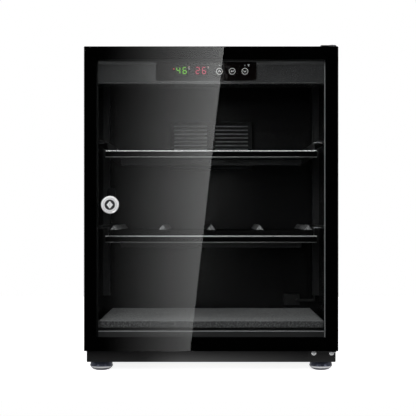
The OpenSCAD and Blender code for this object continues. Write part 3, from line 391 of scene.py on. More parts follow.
def bezel_chrome(name):
    """Chrome with painted shade on the cup's floor near the axis, and a thin ring of painted reflection."""
    f = chrome(name)
    away = f.through("ShaderNodeVectorMath", {0: from_axis(f, 1, 1)}, "Value", operation="LENGTH")
    reflected_ring = f.two("MAXIMUM", f.span(away, REFLECTED_RING, REFLECTED_RING - REFLECTED_RING_HALF, REFLECTED_RING_TONE, 1),
                   f.span(away, REFLECTED_RING, REFLECTED_RING + REFLECTED_RING_HALF, REFLECTED_RING_TONE, 1))
    bright = f.two("MULTIPLY", f.span(away, CUP_DARK, CUP_BRIGHT), reflected_ring)
    f.colours(bright, (0.03, 0.03, 0.032), (0.97, 0.97, 0.98))
    return f


def plug_chrome(name):
    """Painted highlight in a lozenge round the key slot, dark chrome outside: shares across and up add up
    to 1.
    """
    f = chrome(name)
    size = f.through("ShaderNodeVectorMath", {0: from_axis(f, *LOZENGE)}, "Vector", operation="ABSOLUTE")
    total = f.through("ShaderNodeVectorMath", {0: size}, "Value", operation="DOT_PRODUCT",
                      inputs={1: (1, 0, 1)})
    # Bright inside the lozenge, dark outside: a painted highlight on the plug's face.
    f.colours(f.span(total, 1.0, 1.2), (0.97, 0.97, 0.98), (0.06, 0.06, 0.062))
    return f


own_finishes = {"lock_housing": bezel_chrome("lock_bezel"), "lock_plug": plug_chrome("lock_plug_face"),
                "lock_cam": metal("cam_steel", (0.012, 0.012, 0.013), 0.4),
                "lock_strike": metal("strike_steel", (0.012, 0.012, 0.013), 0.4)}
keep(chrome("lock_chrome"), metal("zinc", (0.62, 0.63, 0.66), 0.36),
     metal("spring_steel", (0.55, 0.54, 0.52), 0.28),
     metal("heater", (0.78, 0.79, 0.8), 0.34, run=(0.05, 1, 1)),
     metal("shutter", (0.72, 0.73, 0.75), 0.36, run=(0.05, 1, 1)))
print("with metals", len(finishes))

# %% [markdown]
# The drying pack is a block of white beads in a net, and the circuit board is green lacquer over
# copper tracks. Cells round scattered points make both: round grains for the beads, and the borders
# between the cells for the tracks.
# %% Desiccant and circuit board
def beads(name):
    """White beads: each grain stands out round its own middle, painted darker towards its rim as painted
    shade.
    """
    f = Finish(name, (0.7, 0.68, 0.62), 0.6)
    grains = f.cells(3 * mm)
    # Darker towards each grain's rim: painted shade between the beads.
    f.colours(f.span(grains, 0.0, 0.7), (0.8, 0.78, 0.72), (0.25, 0.24, 0.21))
    f.relief(grains, 1.2 * mm, -1.0)
    return f


def board_and_painted_shadow(name):
    """Green lacquer, paler and raised where a track runs under it."""
    f = Finish(name, (0.02, 0.16, 0.05), 0.3)
    tracks = f.cells(7 * mm, "DISTANCE_TO_EDGE")
    away = f.span(tracks, 0.04, 0.07)
    f.colours(away, (0.05, 0.3, 0.1), (0.012, 0.12, 0.035))
    f.relief(away, 0.05 * mm, -1.0)
    return f


keep(beads("desiccant"), board_and_painted_shadow("board_green"))
print("with beads and board", len(finishes))

# %% [markdown]
# The figures are lit segments in the photograph's colours: yellow-green for humidity and rose for
# temperature. The status lamp, on the left, is red, and the small lights that mark the units are grey.
# %% Lit figures
def lit(name, colour, strength):
    """A glowing surface, a tenth brighter or fainter in patches."""
    f = Finish(name, [0.4 * c for c in colour], 0.4)
    glow = f.span(f.noise(2.5 * mm, 1.0), 0.3, 0.7, 0.9 * strength, 1.1 * strength)
    f.link(glow, f.shader.inputs["Emission Strength"])
    f.fix({"Emission Color": (*colour, 1)})
    return f


LAMP_RED = (0.85, 0.08, 0.08)
RED_LAMP_END = (-50 * mm, -48 * mm)
f = lit("lamp", LAMP_RED, 0.7)
f.link(f.blend(f.span(f.along("X"), *RED_LAMP_END), LAMP_RED, (0.5, 0.52, 0.5)),
       f.shader.inputs["Emission Color"])
keep(f, lit("digits_green", (0.26, 0.8, 0.07), 0.45), lit("digits_red", (0.8, 0.1, 0.18), 0.42))
print("finishes so far", len(finishes))

# %% [markdown]
# The feet are steel pucks with a blue-black gloss. Each stands on a rubber sole, and the cone between
# the sole and the puck's widest ring is painted bright, a painted reflection of the table, which shows as a
# thin crescent. All of it follows from the height above the table. The hinge screws are bright at the base
# and blackened at the top.
# %% Feet
SOLE_TOP = 3.6 * mm
CONE_TOP = 6.9 * mm
SCREW_BRIGHT = (0.86, 0.87, 0.88)
SCREWS_TURN_BLACK = (400 * mm, 410 * mm)
f = metal("screw_bright", SCREW_BRIGHT, 0.24)
f.colours(f.span(f.along("Z"), *SCREWS_TURN_BLACK), SCREW_BRIGHT, (0.03, 0.035, 0.05))
keep(f)
f = Finish("foot_metal", (0.03, 0.035, 0.055), 0.22, metallic=0.6)
up = f.along("Z")
# The cone between the sole and the widest ring is painted bright: a painted reflection of the table.
bright = f.two("MULTIPLY", f.span(up, SOLE_TOP, SOLE_TOP + 0.4 * mm),
               f.span(up, CONE_TOP, CONE_TOP - 0.6 * mm))
f.colours(bright, (0.05, 0.055, 0.08), (0.8, 0.8, 0.82))
f.sheen_of(f.noise(6 * mm), 0.16, 0.26)
keep(f)
print("bright cone from", SOLE_TOP, "to", CONE_TOP)

# %% [markdown]
# ## Glass
# The door is a pane four millimetres thick. A Principled shader with full transmission bends and
# mirrors as glass does. Lamps would be stopped by it, so for shadow rays and for light already
# scattered by a matt surface the pane is made clear, and the inside of the cabinet is lit through it.
# %% Glass
f = Finish("glass", (0.96, 0.975, 0.97), 0.0)
f.fix({"Transmission Weight": 1.0, "IOR": 1.5})
path = f.node("ShaderNodeLightPath")
either = f.two("MAXIMUM", path.outputs["Is Shadow Ray"], path.outputs["Is Diffuse Ray"])
clear = f.node("ShaderNodeBsdfTransparent", inputs={"Color": (0.93, 0.94, 0.94, 1)})
f.choose(either, f.shader.outputs["BSDF"], clear.outputs["BSDF"])
keep(f)
print("with glass", len(finishes))

# %% [markdown]
# ## Shelf trims
# Each shelf ends in a black bar with a round bead along its upper and its lower edge. The upper bead
# is bare bright metal. The lower one is a little rougher and painted darker, and the lower shelf's pair is
# painted darker than the upper shelf's: painted shade. Height within the bar tells bead from bar.
# %% Shelf trims
BEAD = 1.9 * mm
LOWER_BEAD = 1.5 * mm


def trim_finish(node, upper_shine, lower_shine):
    """Black bar with bright beads: a share of brightness from the distance to the bar's two edges."""
    low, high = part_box(node)
    f = Finish(node, (0.02, 0.02, 0.02), 0.3)
    up = f.along("Z")
    upper = f.span(up, high.z - BEAD, high.z - BEAD + 0.2 * mm, 0, upper_shine)
    lower = f.span(up, low.z + LOWER_BEAD, low.z + LOWER_BEAD - 0.2 * mm, 0, lower_shine)
    share = f.two("MAXIMUM", upper, lower)
    f.colours(share, (0.001, 0.001, 0.001), (0.97, 0.97, 0.97))
    f.link(f.span(share, 0, 0.1), f.shader.inputs["Metallic"])
    f.link(f.span(share, 0, 1, 0.35, 0.24), f.shader.inputs["Roughness"])
    f.fix({"Specular IOR Level": 0.02})
    f.relief(f.noise(1.0 * mm, 2.0, f.stretched((0.03, 1, 1))), 0.0015 * mm)
    return f


# The lower beads, and the lower shelf's beads, are painted darker: painted shade.
own_finishes["upper_shelf_trim"] = trim_finish("upper_shelf_trim", 1.0, 0.6)
own_finishes["lower_shelf_trim"] = trim_finish("lower_shelf_trim", 0.65, 0.3)
print("beads", BEAD, LOWER_BEAD)

# %% [markdown]
# The floor panel's paint is dark grey on its upright front strip and nearly black where it lies flat behind
# it: painted light and shade by facing. The base has more gloss, because the photograph shows the table
# mirrored in it. It is black under the door and greyer behind the glass. The shelves' flanges are painted
# pale at the
# front on the right: a painted highlight.
# %% Floor, base and shelf paint
PLINTH_TOP = 45 * mm
# Where the painted highlight on the shelves' flanges lies.
PAINTED_HIGHLIGHT_X, PAINTED_HIGHLIGHT_Y, PAINTED_HIGHLIGHT_DEPTH = (158 * mm, 162 * mm), (-90 * mm, -110 * mm), (1.8 * mm, 1.2 * mm)


def shelf_paint(node):
    """Runner paint with a painted highlight: pale on the top of the flange at its front end on the right.
    """
    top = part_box(node)[1].z
    f = painted(node + "_paint", RUNNER, 0.38, round_edges=0.3 * mm)
    # A pale patch at the flange's front right end: a painted highlight.
    highlight_corner = f.two("MULTIPLY", f.span(f.along("X"), *PAINTED_HIGHLIGHT_X), f.span(f.along("Y"), *PAINTED_HIGHLIGHT_Y))
    lip_highlight = f.two("MULTIPLY", highlight_corner, f.span(f.along("Z"), top - PAINTED_HIGHLIGHT_DEPTH[0], top - PAINTED_HIGHLIGHT_DEPTH[1]))
    f.colours(lip_highlight, RUNNER, (0.3, 0.3, 0.305))
    return f


f = Finish("floor_paint", (0.012, 0.012, 0.0122), 0.6)
turned = f.along("Z", f.node("ShaderNodeNewGeometry").outputs["Normal"])
# Paler on upright faces, nearly black on flat ones: painted light and shade by facing.
f.colours(f.span(turned, 0.3, 0.7), (0.03, 0.03, 0.0304), (0.002, 0.002, 0.002))
f.fix({"Specular IOR Level": 0.05})
f.relief(f.noise(0.5 * mm, 2.0), 0.02 * mm)
own_finishes["floor_panel"] = f
f = painted("base_paint", BLACK, 0.15, depth=0.01 * mm)
f.colours(f.span(f.along("Z"), PLINTH_TOP, PLINTH_TOP + mm), BLACK, (0.018, 0.018, 0.0183))
own_finishes["base_pan"] = f
own_finishes.update({shelf: shelf_paint(shelf) for shelf in ("upper_shelf", "lower_shelf")})
print("own finishes", sorted(own_finishes))

# %% [markdown]
# ## Foam
# The beds are grey open-cell foam, cut from a block. Up close its surface is a maze of pores with pale
# walls, so it glitters a little: cells give the pores, and a noise the speckle. Upright faces are painted
# darker than the top, as painted shade. On the lens bed, all that lies below the ridges is painted nearly
# black, as a painted shadow.
# %% Foam finish
def foam(name, dark, pale, upright_shade_share, sheen, shine, painted_shadow_top=-1.0):
    """Open-cell foam. Upright faces get painted shade by a share, and below a given height a painted
    shadow.
    """
    f = Finish(name, pale, 0.95)
    pores = f.cells(2.6 * mm)
    speckle = f.noise(3.2 * mm, 4.0, f.stretched((1, 0.4, 1)))
    tone = f.two("MULTIPLY", f.span(pores, 0.1, 0.8, 1.0, 0.35), f.span(speckle, 0.32, 0.68, 0.2, 1.5))
    facing = f.along("Z", f.node("ShaderNodeNewGeometry").outputs["Normal"])
    # Upright faces painted darker: painted shade.
    grey = f.blend(f.two("MULTIPLY", tone, f.span(facing, 0.2, 0.7, upright_shade_share, 1.0)), dark, pale)
    # Below the given height the foam is painted nearly black: a painted shadow.
    board_and_painted_shadow = f.blend(f.span(f.along("Z"), painted_shadow_top, painted_shadow_top + 0.4 * mm), (0.003, 0.003, 0.003), pale)
    whole = f.node("ShaderNodeMix", data_type="RGBA", blend_type="DARKEN", inputs={"Factor": 1.0})
    f.link(grey, whole.inputs["A"])
    f.link(board_and_painted_shadow, whole.inputs["B"])
    f.link(whole.outputs["Result"], f.shader.inputs["Base Color"])
    f.relief(tone, 0.5 * mm, 0.9)
    f.fix({"Sheen Weight": sheen, "Specular IOR Level": shine})
    return f


RIDGE_HEIGHT = 9.7 * mm
# How far above the flat foam between the ridges the painted shadow reaches.
SHADOW_PAST_FLAT = 1.1 * mm
keep(foam("foam_grey", (0.012, 0.012, 0.0123), (0.15, 0.15, 0.152), 0.55, 0.15, 0.2),
     foam("cradle_grey", (0.012, 0.012, 0.0122), (0.26, 0.26, 0.262), 0.9, 0.0, 0.02,
          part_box("lens_cradle")[1].z - RIDGE_HEIGHT + SHADOW_PAST_FLAT))
print("with foam", len(finishes))

# %% [markdown]
# ## Give each part of the model its finish
# The record says which slot each node belongs to, and a finish carries the slot's name.
# %% Dress the model
slots = {s["node"]: s["material_slot"] for s in record["subparts"]}
for name, node in nodes_of.items():
    chosen = own_finishes.get(name) or finishes.get(slots[name])
    if chosen is None:
        continue
    node.data.materials.clear()
    node.data.materials.append(chosen.material)
print("dressed", len(nodes_of))

# %% [markdown]
# ## The printed border
# The black border is ink on the back of the glass. It is made again here as a thin ring a hair's
# breadth behind the glass, because a render can't tell two surfaces in the same place apart. Its
# outlines are rectangles with round corners.
# %% The printed border
INK_GAP = 0.04 * mm
CORNER_STEPS = 6


def rounded_outline(low, high, radius):
    """Points around a rectangle in X and Z: four quarter circles, joined by the straight sides."""
    turn = np.linspace(0, math.pi / 2, CORNER_STEPS)
    centres = [(high[0] - radius, high[1] - radius), (low[0] + radius, high[1] - radius),
               (low[0] + radius, low[1] + radius), (high[0] - radius, low[1] + radius)]
    corners = [np.stack([c[0] + radius * np.cos(turn + k * math.pi / 2),
                         c[1] + radius * np.sin(turn + k * math.pi / 2)], -1)
               for k, c in enumerate(centres)]
    return np.concatenate(corners)


def at_depth(outline, y):
    """Points in X and Z, set at one Y."""
    return np.insert(np.asarray(outline, float), 1, y, axis=1)


def plate(outline, y0, y1):
    """A flat plate with an outline in X and Z, from y0 to y1 in Y."""
    return skin(np.stack([at_depth(outline, y0), at_depth(outline, y1)]))


def band(left, right, y0, y1, ring=False):
    """A flat band between two lines: at each point of the lines its section is a small rectangle."""
    return skin(np.stack([at_depth(left, y0), at_depth(left, y1),
                          at_depth(right, y1), at_depth(right, y0)], 1), ring)


ink = Finish("glass_print", (0.0004, 0.0004, 0.0004), 0.3)
ink.fix({"Specular IOR Level": 0.0})
ink.colours(ink.noise(30 * mm), (0.0003, 0.0003, 0.0003), (0.0005, 0.0005, 0.0005))
low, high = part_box("glass_border")
BORDER_SIDE, BORDER_TOP, BORDER_FOOT = 19.3 * mm, 20.5 * mm, 22 * mm
outer = rounded_outline((low.x, low.z), (high.x, high.z), 1.5 * mm)
window_low = (low.x + BORDER_SIDE, low.z + BORDER_FOOT)
window_high = (high.x - BORDER_SIDE, high.z - BORDER_TOP)
inner = rounded_outline(window_low, window_high, 0.4 * mm)
border = piece("printed_border", *band(outer, inner, low.y + INK_GAP, high.y, ring=True),
               ink, "door", "glass_print")
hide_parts("glass_border")
print("border faces", len(border.data.polygons))

# %% [markdown]
# ## Foam beds
# A foam bed is a block with softly rounded edges, built from six grids. Each grid point is moved to
# the nearest point of a smaller box, then out again by the edge radius, which rounds all edges and
# corners at once. Then the top is raised or lowered by a formula: shallow waves from the cutting wire,
# and for the lens bed five ridges.
# %% Foam beds
def grid_lines(a, b, radius, step):
    """Places of grid lines from a to b: three close ones within each rounded edge, even ones between."""
    count = max(2, int(round((b - a - 2 * radius) / step)) + 1)
    rim = radius * np.array([0.0, 0.3, 0.65])
    return np.concatenate([a + rim, np.linspace(a + radius, b - radius, count), b - rim[::-1]])


def soft_block(low, high, radius, steps):
    """Points and faces of a box with rounded edges, steps apart along X, Y and Z."""
    low, high = np.array(low, float), np.array(high, float)
    lines = [grid_lines(low[k], high[k], radius, steps[k]) for k in range(3)]
    lots = []
    for k in range(3):
        i, j = (k + 1) % 3, (k + 2) % 3
        for end in (low[k], high[k]):
            p = np.zeros((len(lines[i]), len(lines[j]), 3))
            p[..., i], p[..., j] = np.meshgrid(lines[i], lines[j], indexing="ij")
            p[..., k] = end
            quads = grid_quads(*p.shape[:2])
            lots.append((p, (quads if end == high[k] else quads[:, ::-1]).tolist()))
    points, faces = together(lots)
    core = np.clip(points, low + radius, high - radius)
    away = points - core
    points = core + radius * away / np.maximum(np.linalg.norm(away, axis=1, keepdims=True), 1e-9)
    first, same = np.unique(np.round(points, 7), axis=0, return_index=True, return_inverse=True)[1:]
    return points[first], same.reshape(-1)[np.array(faces)].tolist()


def waves(x, y, seed, sizes=(90 * mm, 37 * mm, 17 * mm)):
    """A gentle unevenness from 0 to 1: sines of three lengths, in directions drawn from a seed."""
    rng = np.random.default_rng(seed)
    total = np.zeros_like(x)
    for size in sizes:
        angle, phase = rng.uniform(0, 2 * math.pi, 2)
        total += np.sin(2 * math.pi * (x * math.cos(angle) + y * math.sin(angle)) / size + phase)
    return 0.5 + total / (2 * len(sizes))


def foam_bed(name, node, body, slot, seed, radius=1.2 * mm, dip=0.5 * mm, steps=(4 * mm, 4 * mm, 3 * mm)):
    """A foam sheet in the place of a node, its top lowered by up to dip in shallow waves."""
    low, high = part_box(node)
    points, faces = soft_block(low, high, radius, steps)
    lift = (points[:, 2] - low.z) / (high.z - low.z)
    points[:, 2] -= lift * dip * waves(points[:, 0], points[:, 1], seed)
    made = piece(name, points, faces, finishes[slot], body, slot, 60)
    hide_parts(node)
    return made


floor_foam = foam_bed("floor_foam", "floor_mat", "cabinet", "foam_grey", seed=3)
shelf_foam = foam_bed("shelf_foam", "upper_mat", "upper_shelf", "foam_grey", seed=5)
print("floor foam", len(floor_foam.data.polygons), "shelf foam", len(shelf_foam.data.polygons))

# %% [markdown]
# The lens bed has five ridges with hollow flanks, so that round things lie between them. A ridge's
# height over its foot is one minus the distance from its middle as a share of its half width, to a
# power a little above one, which draws the flanks in.
# %% The lens bed
RIDGES = 5
RIDGE_WIDTH = 16 * mm
RIDGE_END = 0.5 * mm
RIDGE_SHARE = 0.985
BED_DIP = 0.3 * mm
FLANK_POWER = 1.25
low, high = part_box("lens_cradle")
flat_top = high.z - RIDGE_HEIGHT
points, faces = soft_block(low, (high.x, high.y, flat_top), 1.0 * mm, (1.6 * mm, 5 * mm, 3 * mm))
ridge_pitch = (high.x - low.x - 2 * RIDGE_END - RIDGE_WIDTH) / (RIDGES - 1)
from_ridge = np.abs((points[:, 0] / ridge_pitch + 0.5) % 1 - 0.5) * ridge_pitch
share = np.clip(1 - from_ridge / (RIDGE_WIDTH / 2), 0, 1) ** FLANK_POWER
top_share = np.clip((points[:, 2] - low.z) / (flat_top - low.z), 0, 1)
dip = BED_DIP * waves(points[:, 0], points[:, 1], 9)
points[:, 2] += top_share * (share * RIDGE_HEIGHT * RIDGE_SHARE - dip)
cradle = piece("lens_bed", points, faces, finishes["cradle_grey"], "lower_shelf", "cradle_grey", 60)
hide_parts("lens_cradle")
print("lens bed faces", len(cradle.data.polygons), "ridge pitch", round(ridge_pitch, 4))

# %% [markdown]
# ## Bright edges
# Sheet steel is folded over along the opening. The folds show as thin pale lines: one down the right side,
# one along the sill, and two across the fascia. Each is a half-round bead along the edge, half a millimetre
# or a little more proud of the sheet. The side and sill beads are painted pale grey: a painted highlight.
# %% Bright edges
def bead(start, end, radius, side):
    """A half-round bar from start to end, which stands proud to the front. side is the way across it."""
    angle = np.linspace(0, math.pi, 9)[:, None]
    arc = radius * (np.cos(angle) * np.array(side, float) + np.sin(angle) * np.array((0, -1, 0), float))
    return skin(np.stack([np.array(start) + arc, np.array(end) + arc]))


flange_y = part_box("cabinet_shell")[0].y
sill_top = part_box("floor_panel")[1].z
# Pale grey on the black cabinet: a painted highlight along the folds.
fold_highlight_paint = painted("fold_highlight_grey", (0.22, 0.22, 0.225), 0.35, round_edges=0)
sill_half = 179.2 * mm
EDGE_RADIUS = 0.7 * mm
fold_x = sill_half + 1.6 * mm
fold_ends = (window_low[1] - 2 * mm, window_high[1] + 2 * mm)
folds = [bead((fold_x, flange_y, fold_ends[0]), (fold_x, flange_y, fold_ends[1]), EDGE_RADIUS, (1, 0, 0)),
         bead((-sill_half, flange_y, sill_top - EDGE_RADIUS), (sill_half, flange_y, sill_top - EDGE_RADIUS),
              EDGE_RADIUS, (0, 0, 1))]
fold_piece = piece("opening_folds", *together(folds), fold_highlight_paint, "cabinet", "cabinet_black")
print("fold faces", len(fold_piece.data.polygons))

# %% Fascia folds
fascia_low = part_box("control_fascia")[0]
FASCIA_RADIUS = 0.5 * mm
FOLD_FROM_EDGE = 1.9 * mm
fascia_paint = painted("fascia_edge", (0.03, 0.03, 0.0305), 0.2, round_edges=0)
rows = [fascia_low.z + FOLD_FROM_EDGE, window_high[1] + 0.9 * mm]
fascia_folds = [bead((-sill_half, fascia_low.y, z), (sill_half, fascia_low.y, z), FASCIA_RADIUS, (0, 0, 1))
                for z in rows]
piece("fascia_folds", *together(fascia_folds), fascia_paint, "cabinet", "fascia_grey")
print("fascia folds at", [round(z, 4) for z in rows])

# %% [markdown]
# ## Marks on the display
# Round the buttons are three thin lit rings, and on them an arrow up, a return arrow and an arrow down.
# The first ring and its arrow glow more, to show through the reflection. A stroke is a ribbon along a
# few points. Where it bends, its sides are moved along the line that halves the corner.
# %% Strokes and rings
def stroke(path, width, y0, y1):
    """Points and faces of a flat ribbon through points in X and Z, from y0 to y1 in Y."""
    path = np.asarray(path, float)
    way = np.diff(path, axis=0)
    way /= np.linalg.norm(way, axis=1, keepdims=True)
    across = np.stack([-way[:, 1], way[:, 0]], -1)
    before, after = np.vstack([across[:1], across]), np.vstack([across, across[-1:]])
    middle = before + after
    middle /= (middle * before).sum(1, keepdims=True)
    return band(path + middle * width / 2, path - middle * width / 2, y0, y1)


def circle(x, z, radius, steps=48):
    """Points around a circle in X and Z."""
    a = np.linspace(0, 2 * math.pi, steps, endpoint=False)
    return np.stack([x + radius * np.cos(a), z + radius * np.sin(a)], -1)


def ring(x, z, radius, width, y0, y1):
    """A flat round ring whose middle line has the given radius."""
    return band(circle(x, z, radius + width / 2), circle(x, z, radius - width / 2), y0, y1, ring=True)


mark_white = lit("mark_white", (0.95, 0.95, 0.95), 0.36)
mark_bright = lit("mark_bright", (0.95, 0.95, 0.95), 0.62)
panel_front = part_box("display_panel")[0].y
INK = 0.12 * mm
PRINT = (panel_front - INK, panel_front)
RING_RADIUS = 4.8 * mm
LINE = 0.5 * mm
buttons = {"up_button": "up", "set_button": "return", "down_button": "down"}
centres = {}
for button in buttons:
    low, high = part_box(button)
    centres[button] = [(low.x + high.x) / 2, (low.z + high.z) / 2]
rings = {b: ring(*c, RING_RADIUS, LINE, *PRINT) for b, c in centres.items()}
up_ring = rings.pop("up_button")
piece("button_rings", *together(list(rings.values())), mark_white, "cabinet", "digits_red")
piece("up_button_ring", *up_ring, mark_bright, "cabinet", "digits_red")
print("rings", len(rings), "radius", RING_RADIUS)

# %% Arrows on the buttons
ARROW = 2.4 * mm
arrow_shares = {
    "up": [[(-1, -0.4), (0, 0.5), (1, -0.4)]],
    "down": [[(-1, 0.4), (0, -0.5), (1, 0.4)]],
    "return": [[(0.85, 0.65), (0.85, -0.05), (-0.7, -0.05)], [(-0.15, 0.5), (-0.75, -0.05), (-0.15, -0.6)]],
}
for button, shape in buttons.items():
    cx, cz = centres[button]
    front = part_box(button)[0].y
    lines = [stroke([(cx + ARROW * u, cz + ARROW * v) for u, v in shares], 0.55 * mm, front - INK, front)
             for shares in arrow_shares[shape]]
    paint = mark_bright if shape == "up" else mark_white
    piece(f"{shape}_arrow", *together(lines), paint, button, "digits_red")
print("arrows", list(arrow_shares))

# %% [markdown]
# Beside the readings stand two tiny marks, per cent and degrees, and over the outer buttons small signs
# that need no words: a bar, a dot and a lamp shade. Unlit segments show faintly behind the figures.
# %% Signs
def sign_at(x, z, size, shares, width=0.45 * mm):
    """Strokes given as shares of a size around a place, on the panel's face."""
    return [stroke([(x + size * u, z + size * v) for u, v in line], width, *PRINT) for line in shares]


humid_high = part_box("humidity_digits")[1]
warm_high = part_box("temperature_digits")[1]
sign_z = humid_high.z + 0.4 * mm
percent_x = humid_high.x + 3.9 * mm
degree_x = warm_high.x + 3.0 * mm
signs = sign_at(percent_x, sign_z - 3.3 * mm, 1.3 * mm, [[(-0.8, -1), (0.8, 1)]])
signs += [ring(percent_x + s * 0.85 * mm, sign_z - 3.3 * mm - s * 0.75 * mm, 0.5 * mm, 0.35 * mm, *PRINT)
          for s in (-1, 1)]
letter_c = [[(0.8 * math.cos(a), math.sin(a)) for a in np.linspace(0.9, 2 * math.pi - 0.9, 12)]]
signs += sign_at(degree_x + 1.6 * mm, sign_z - 2.2 * mm, 1.3 * mm, letter_c)
over = 9.4 * mm  # from a button's middle up to its sign
signs += sign_at(centres["up_button"][0] + 0.2 * mm, centres["up_button"][1] + over, 1.1 * mm,
                 [[(0, -0.8), (0, 0.8)]], 0.9 * mm)
down_x, down_z = centres["down_button"]
signs.append(ring(down_x, down_z + over, 0.45 * mm, 0.6 * mm, *PRINT))
shade = np.array([(-1, 0.8), (1, 0.8), (0.4, 0), (0.3, -0.8), (-0.3, -0.8), (-0.4, 0)]) * 2.0 * mm
shade += [down_x + 5.8 * mm, down_z + over]
signs.append(plate(shade, *PRINT))
sign_white = lit("sign_white", (0.8, 0.82, 0.85), 0.13)
piece("display_signs", *together(signs), sign_white, "cabinet", "digits_red")
print("signs", len(signs))

# %% Unlit segments
SEGMENT = 1.2 * mm
SEGMENT_GAP = 0.25 * mm
DIGIT_PITCH = 10 * mm
bar_shares = {"a": (0, 2), "b": (1, 1), "c": (1, -1), "d": (0, -2), "e": (-1, -1), "f": (-1, 1)}
unlit_bars = {"humidity_digits": ("ade", "b"), "temperature_digits": ("cf", "b")}


def segment_bar(x, z, length, upright, y0, y1):
    """A long hexagon with pointed ends, lying or standing, as a flat plate."""
    half, end = length / 2 - SEGMENT_GAP, SEGMENT / 2
    outline = np.array([(-half, 0), (end - half, end), (half - end, end), (half, 0),
                        (half - end, -end), (end - half, -end)])
    if upright:
        outline = outline[:, ::-1] * [-1, 1]
    return plate(outline + [x, z], y0, y1)


ghosts = []
for node, figures in unlit_bars.items():
    low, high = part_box(node)
    wide = high.x - low.x - DIGIT_PITCH - SEGMENT
    tall = high.z - low.z - SEGMENT
    for side, bars in zip((-0.5, 0.5), figures):
        for bar in bars:
            u, v = bar_shares[bar]
            ghosts.append(segment_bar((low.x + high.x) / 2 + side * DIGIT_PITCH + u * wide / 2,
                                      (low.z + high.z) / 2 + v * tall / 4,
                                      tall / 2 if u else wide, bool(u), low.y + 0.05 * mm, high.y))
ghost_grey = moulded("ghost_grey", (0.045, 0.042, 0.04), 0.4)
piece("unlit_segments", *together(ghosts), ghost_grey, "cabinet", "module_black")
print("unlit segments", len(ghosts))

# %% [markdown]
# ## Screw heads
# The model's screw heads are plain discs. The real ones are shallow domes with a cross recess, so each
# head is made again from distance and angle round its axis. Its height is a dome less the cross, which
# is cut where a point lies near one of two lines through the middle.
# %% Screw heads
def screw_head(place, out, radius, tall, shank, steps=(14, 48)):
    """Head and shank of one screw. Rows run from the middle of the dome over the rim to the shank's
    end. Height over the seat: tall times the root of one minus 0.7 r squared, less the recess."""
    share = np.linspace(0.02, 1, steps[0])
    angle = np.linspace(0, 2 * math.pi, steps[1], endpoint=False)
    r, a = np.meshgrid(share * radius, angle, indexing="ij")
    u, v = np.abs(r * np.cos(a)), np.abs(r * np.sin(a))
    arm, slot = 0.62 * radius, 0.13 * radius
    within = np.clip((arm - r) / (0.1 * radius), 0, 1)
    cross = np.clip((slot - np.minimum(u, v)) / (0.05 * radius), 0, 1) * within
    dome = tall * np.sqrt(1 - 0.7 * (r / radius) ** 2) - cross * 0.45 * tall
    ones = np.ones(steps[1])
    neck = 0.55 * radius * ones
    rows = list(zip(r, dome)) + [(radius * ones, 0 * ones), (neck, 0 * ones), (neck, -shank * ones)]
    out = np.array(out, float)
    side = np.array([out[1], out[2], out[0]])
    other = np.cross(out, side)
    away = np.cos(angle)[:, None] * side + np.sin(angle)[:, None] * other
    return skin(np.stack([np.array(place) + h[:, None] * out + q[:, None] * away for q, h in rows]))


def islands(node):
    """Boxes of a node's separate solids: points that share a place belong together, found by spreading
    the lowest number over every triangle until nothing changes."""
    mesh = nodes_of[node].data
    co = np.array([v.co for v in mesh.vertices], np.float32)
    same = np.unique(np.round(co, 6), axis=0, return_inverse=True)[1].reshape(-1)
    mesh.calc_loop_triangles()
    tri = same[np.array([t.vertices for t in mesh.loop_triangles])]
    label = np.arange(same.max() + 1)
    while True:
        least = label[tri].min(1)
        new = label.copy()
        for k in range(3):
            np.minimum.at(new, tri[:, k], least)
        if (new == label).all():
            break
        label = new
    group = label[same]
    return [(co[group == g].min(0), co[group == g].max(0)) for g in np.unique(group)]


def screws_of(node, head_radius, tall, finish):
    """Remakes each screw of a node where it is. A screw stands upright if its box is as wide as its
    head along X and Y, and lies along Y if not. Its head is at the end away from the cabinet."""
    lots = []
    for low, high in islands(node):
        middle = (low + high) / 2
        across = np.abs((high - low) - 2 * head_radius) < 0.1 * head_radius
        axis = 2 if across[0] and across[1] and not across[2] else 1
        out = np.zeros(3)
        out[axis] = 1 if axis == 2 or middle[1] > 0 else -1
        end = high if out[axis] > 0 else low
        seat = middle.copy()
        seat[axis] = end[axis] - out[axis] * tall
        lots.append(screw_head(seat, out, head_radius, tall, (high - low)[axis] - tall))
    made = piece(f"{node}_domed", *together(lots), finish, "cabinet", slots[node], 40)
    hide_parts(node)
    return made


screws_of("hinge_screws", 3.9 * mm, 2.0 * mm, finishes["screw_bright"])
screws_of("rear_screws", 3.2 * mm, 1.6 * mm, finishes["screw_black"])
print("screws", len(islands("hinge_screws")), len(islands("rear_screws")))

# %% [markdown]
# ## Return springs
# Sliding the drying unit's shutter presses its two return springs together. They are made again as
# coils: a circle of wire is carried along a helix that fills the spring's box, from end to end.
# %% Return springs
SPRING_TURNS = 4
WIRE_RADIUS = 0.6 * mm


def coil(low, high, turns, wire, steps=(24, 8)):
    """A wire of round section along a helix round the Y axis of a box, from end to end."""
    turn = np.linspace(0, 2 * math.pi * turns, steps[0] * turns + 1)[:, None]
    section = np.linspace(0, 2 * math.pi, steps[1], endpoint=False)[None, :]
    middle = (low + high) / 2
    r = (high[0] - low[0]) / 2 - wire + wire * np.cos(section)
    along = low[1] + wire + (high[1] - low[1] - 2 * wire) * turn / turn[-1] + wire * np.sin(section)
    return skin(np.stack([middle[0] + r * np.cos(turn), along, middle[2] + r * np.sin(turn)], -1))


coils = [coil(low, high, SPRING_TURNS, WIRE_RADIUS) for low, high in islands("bias_spring")]
slot = slots["bias_spring"]
springs = piece("return_springs", *together(coils), finishes[slot], "cabinet", slot, 60)
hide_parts("bias_spring")
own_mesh(springs)

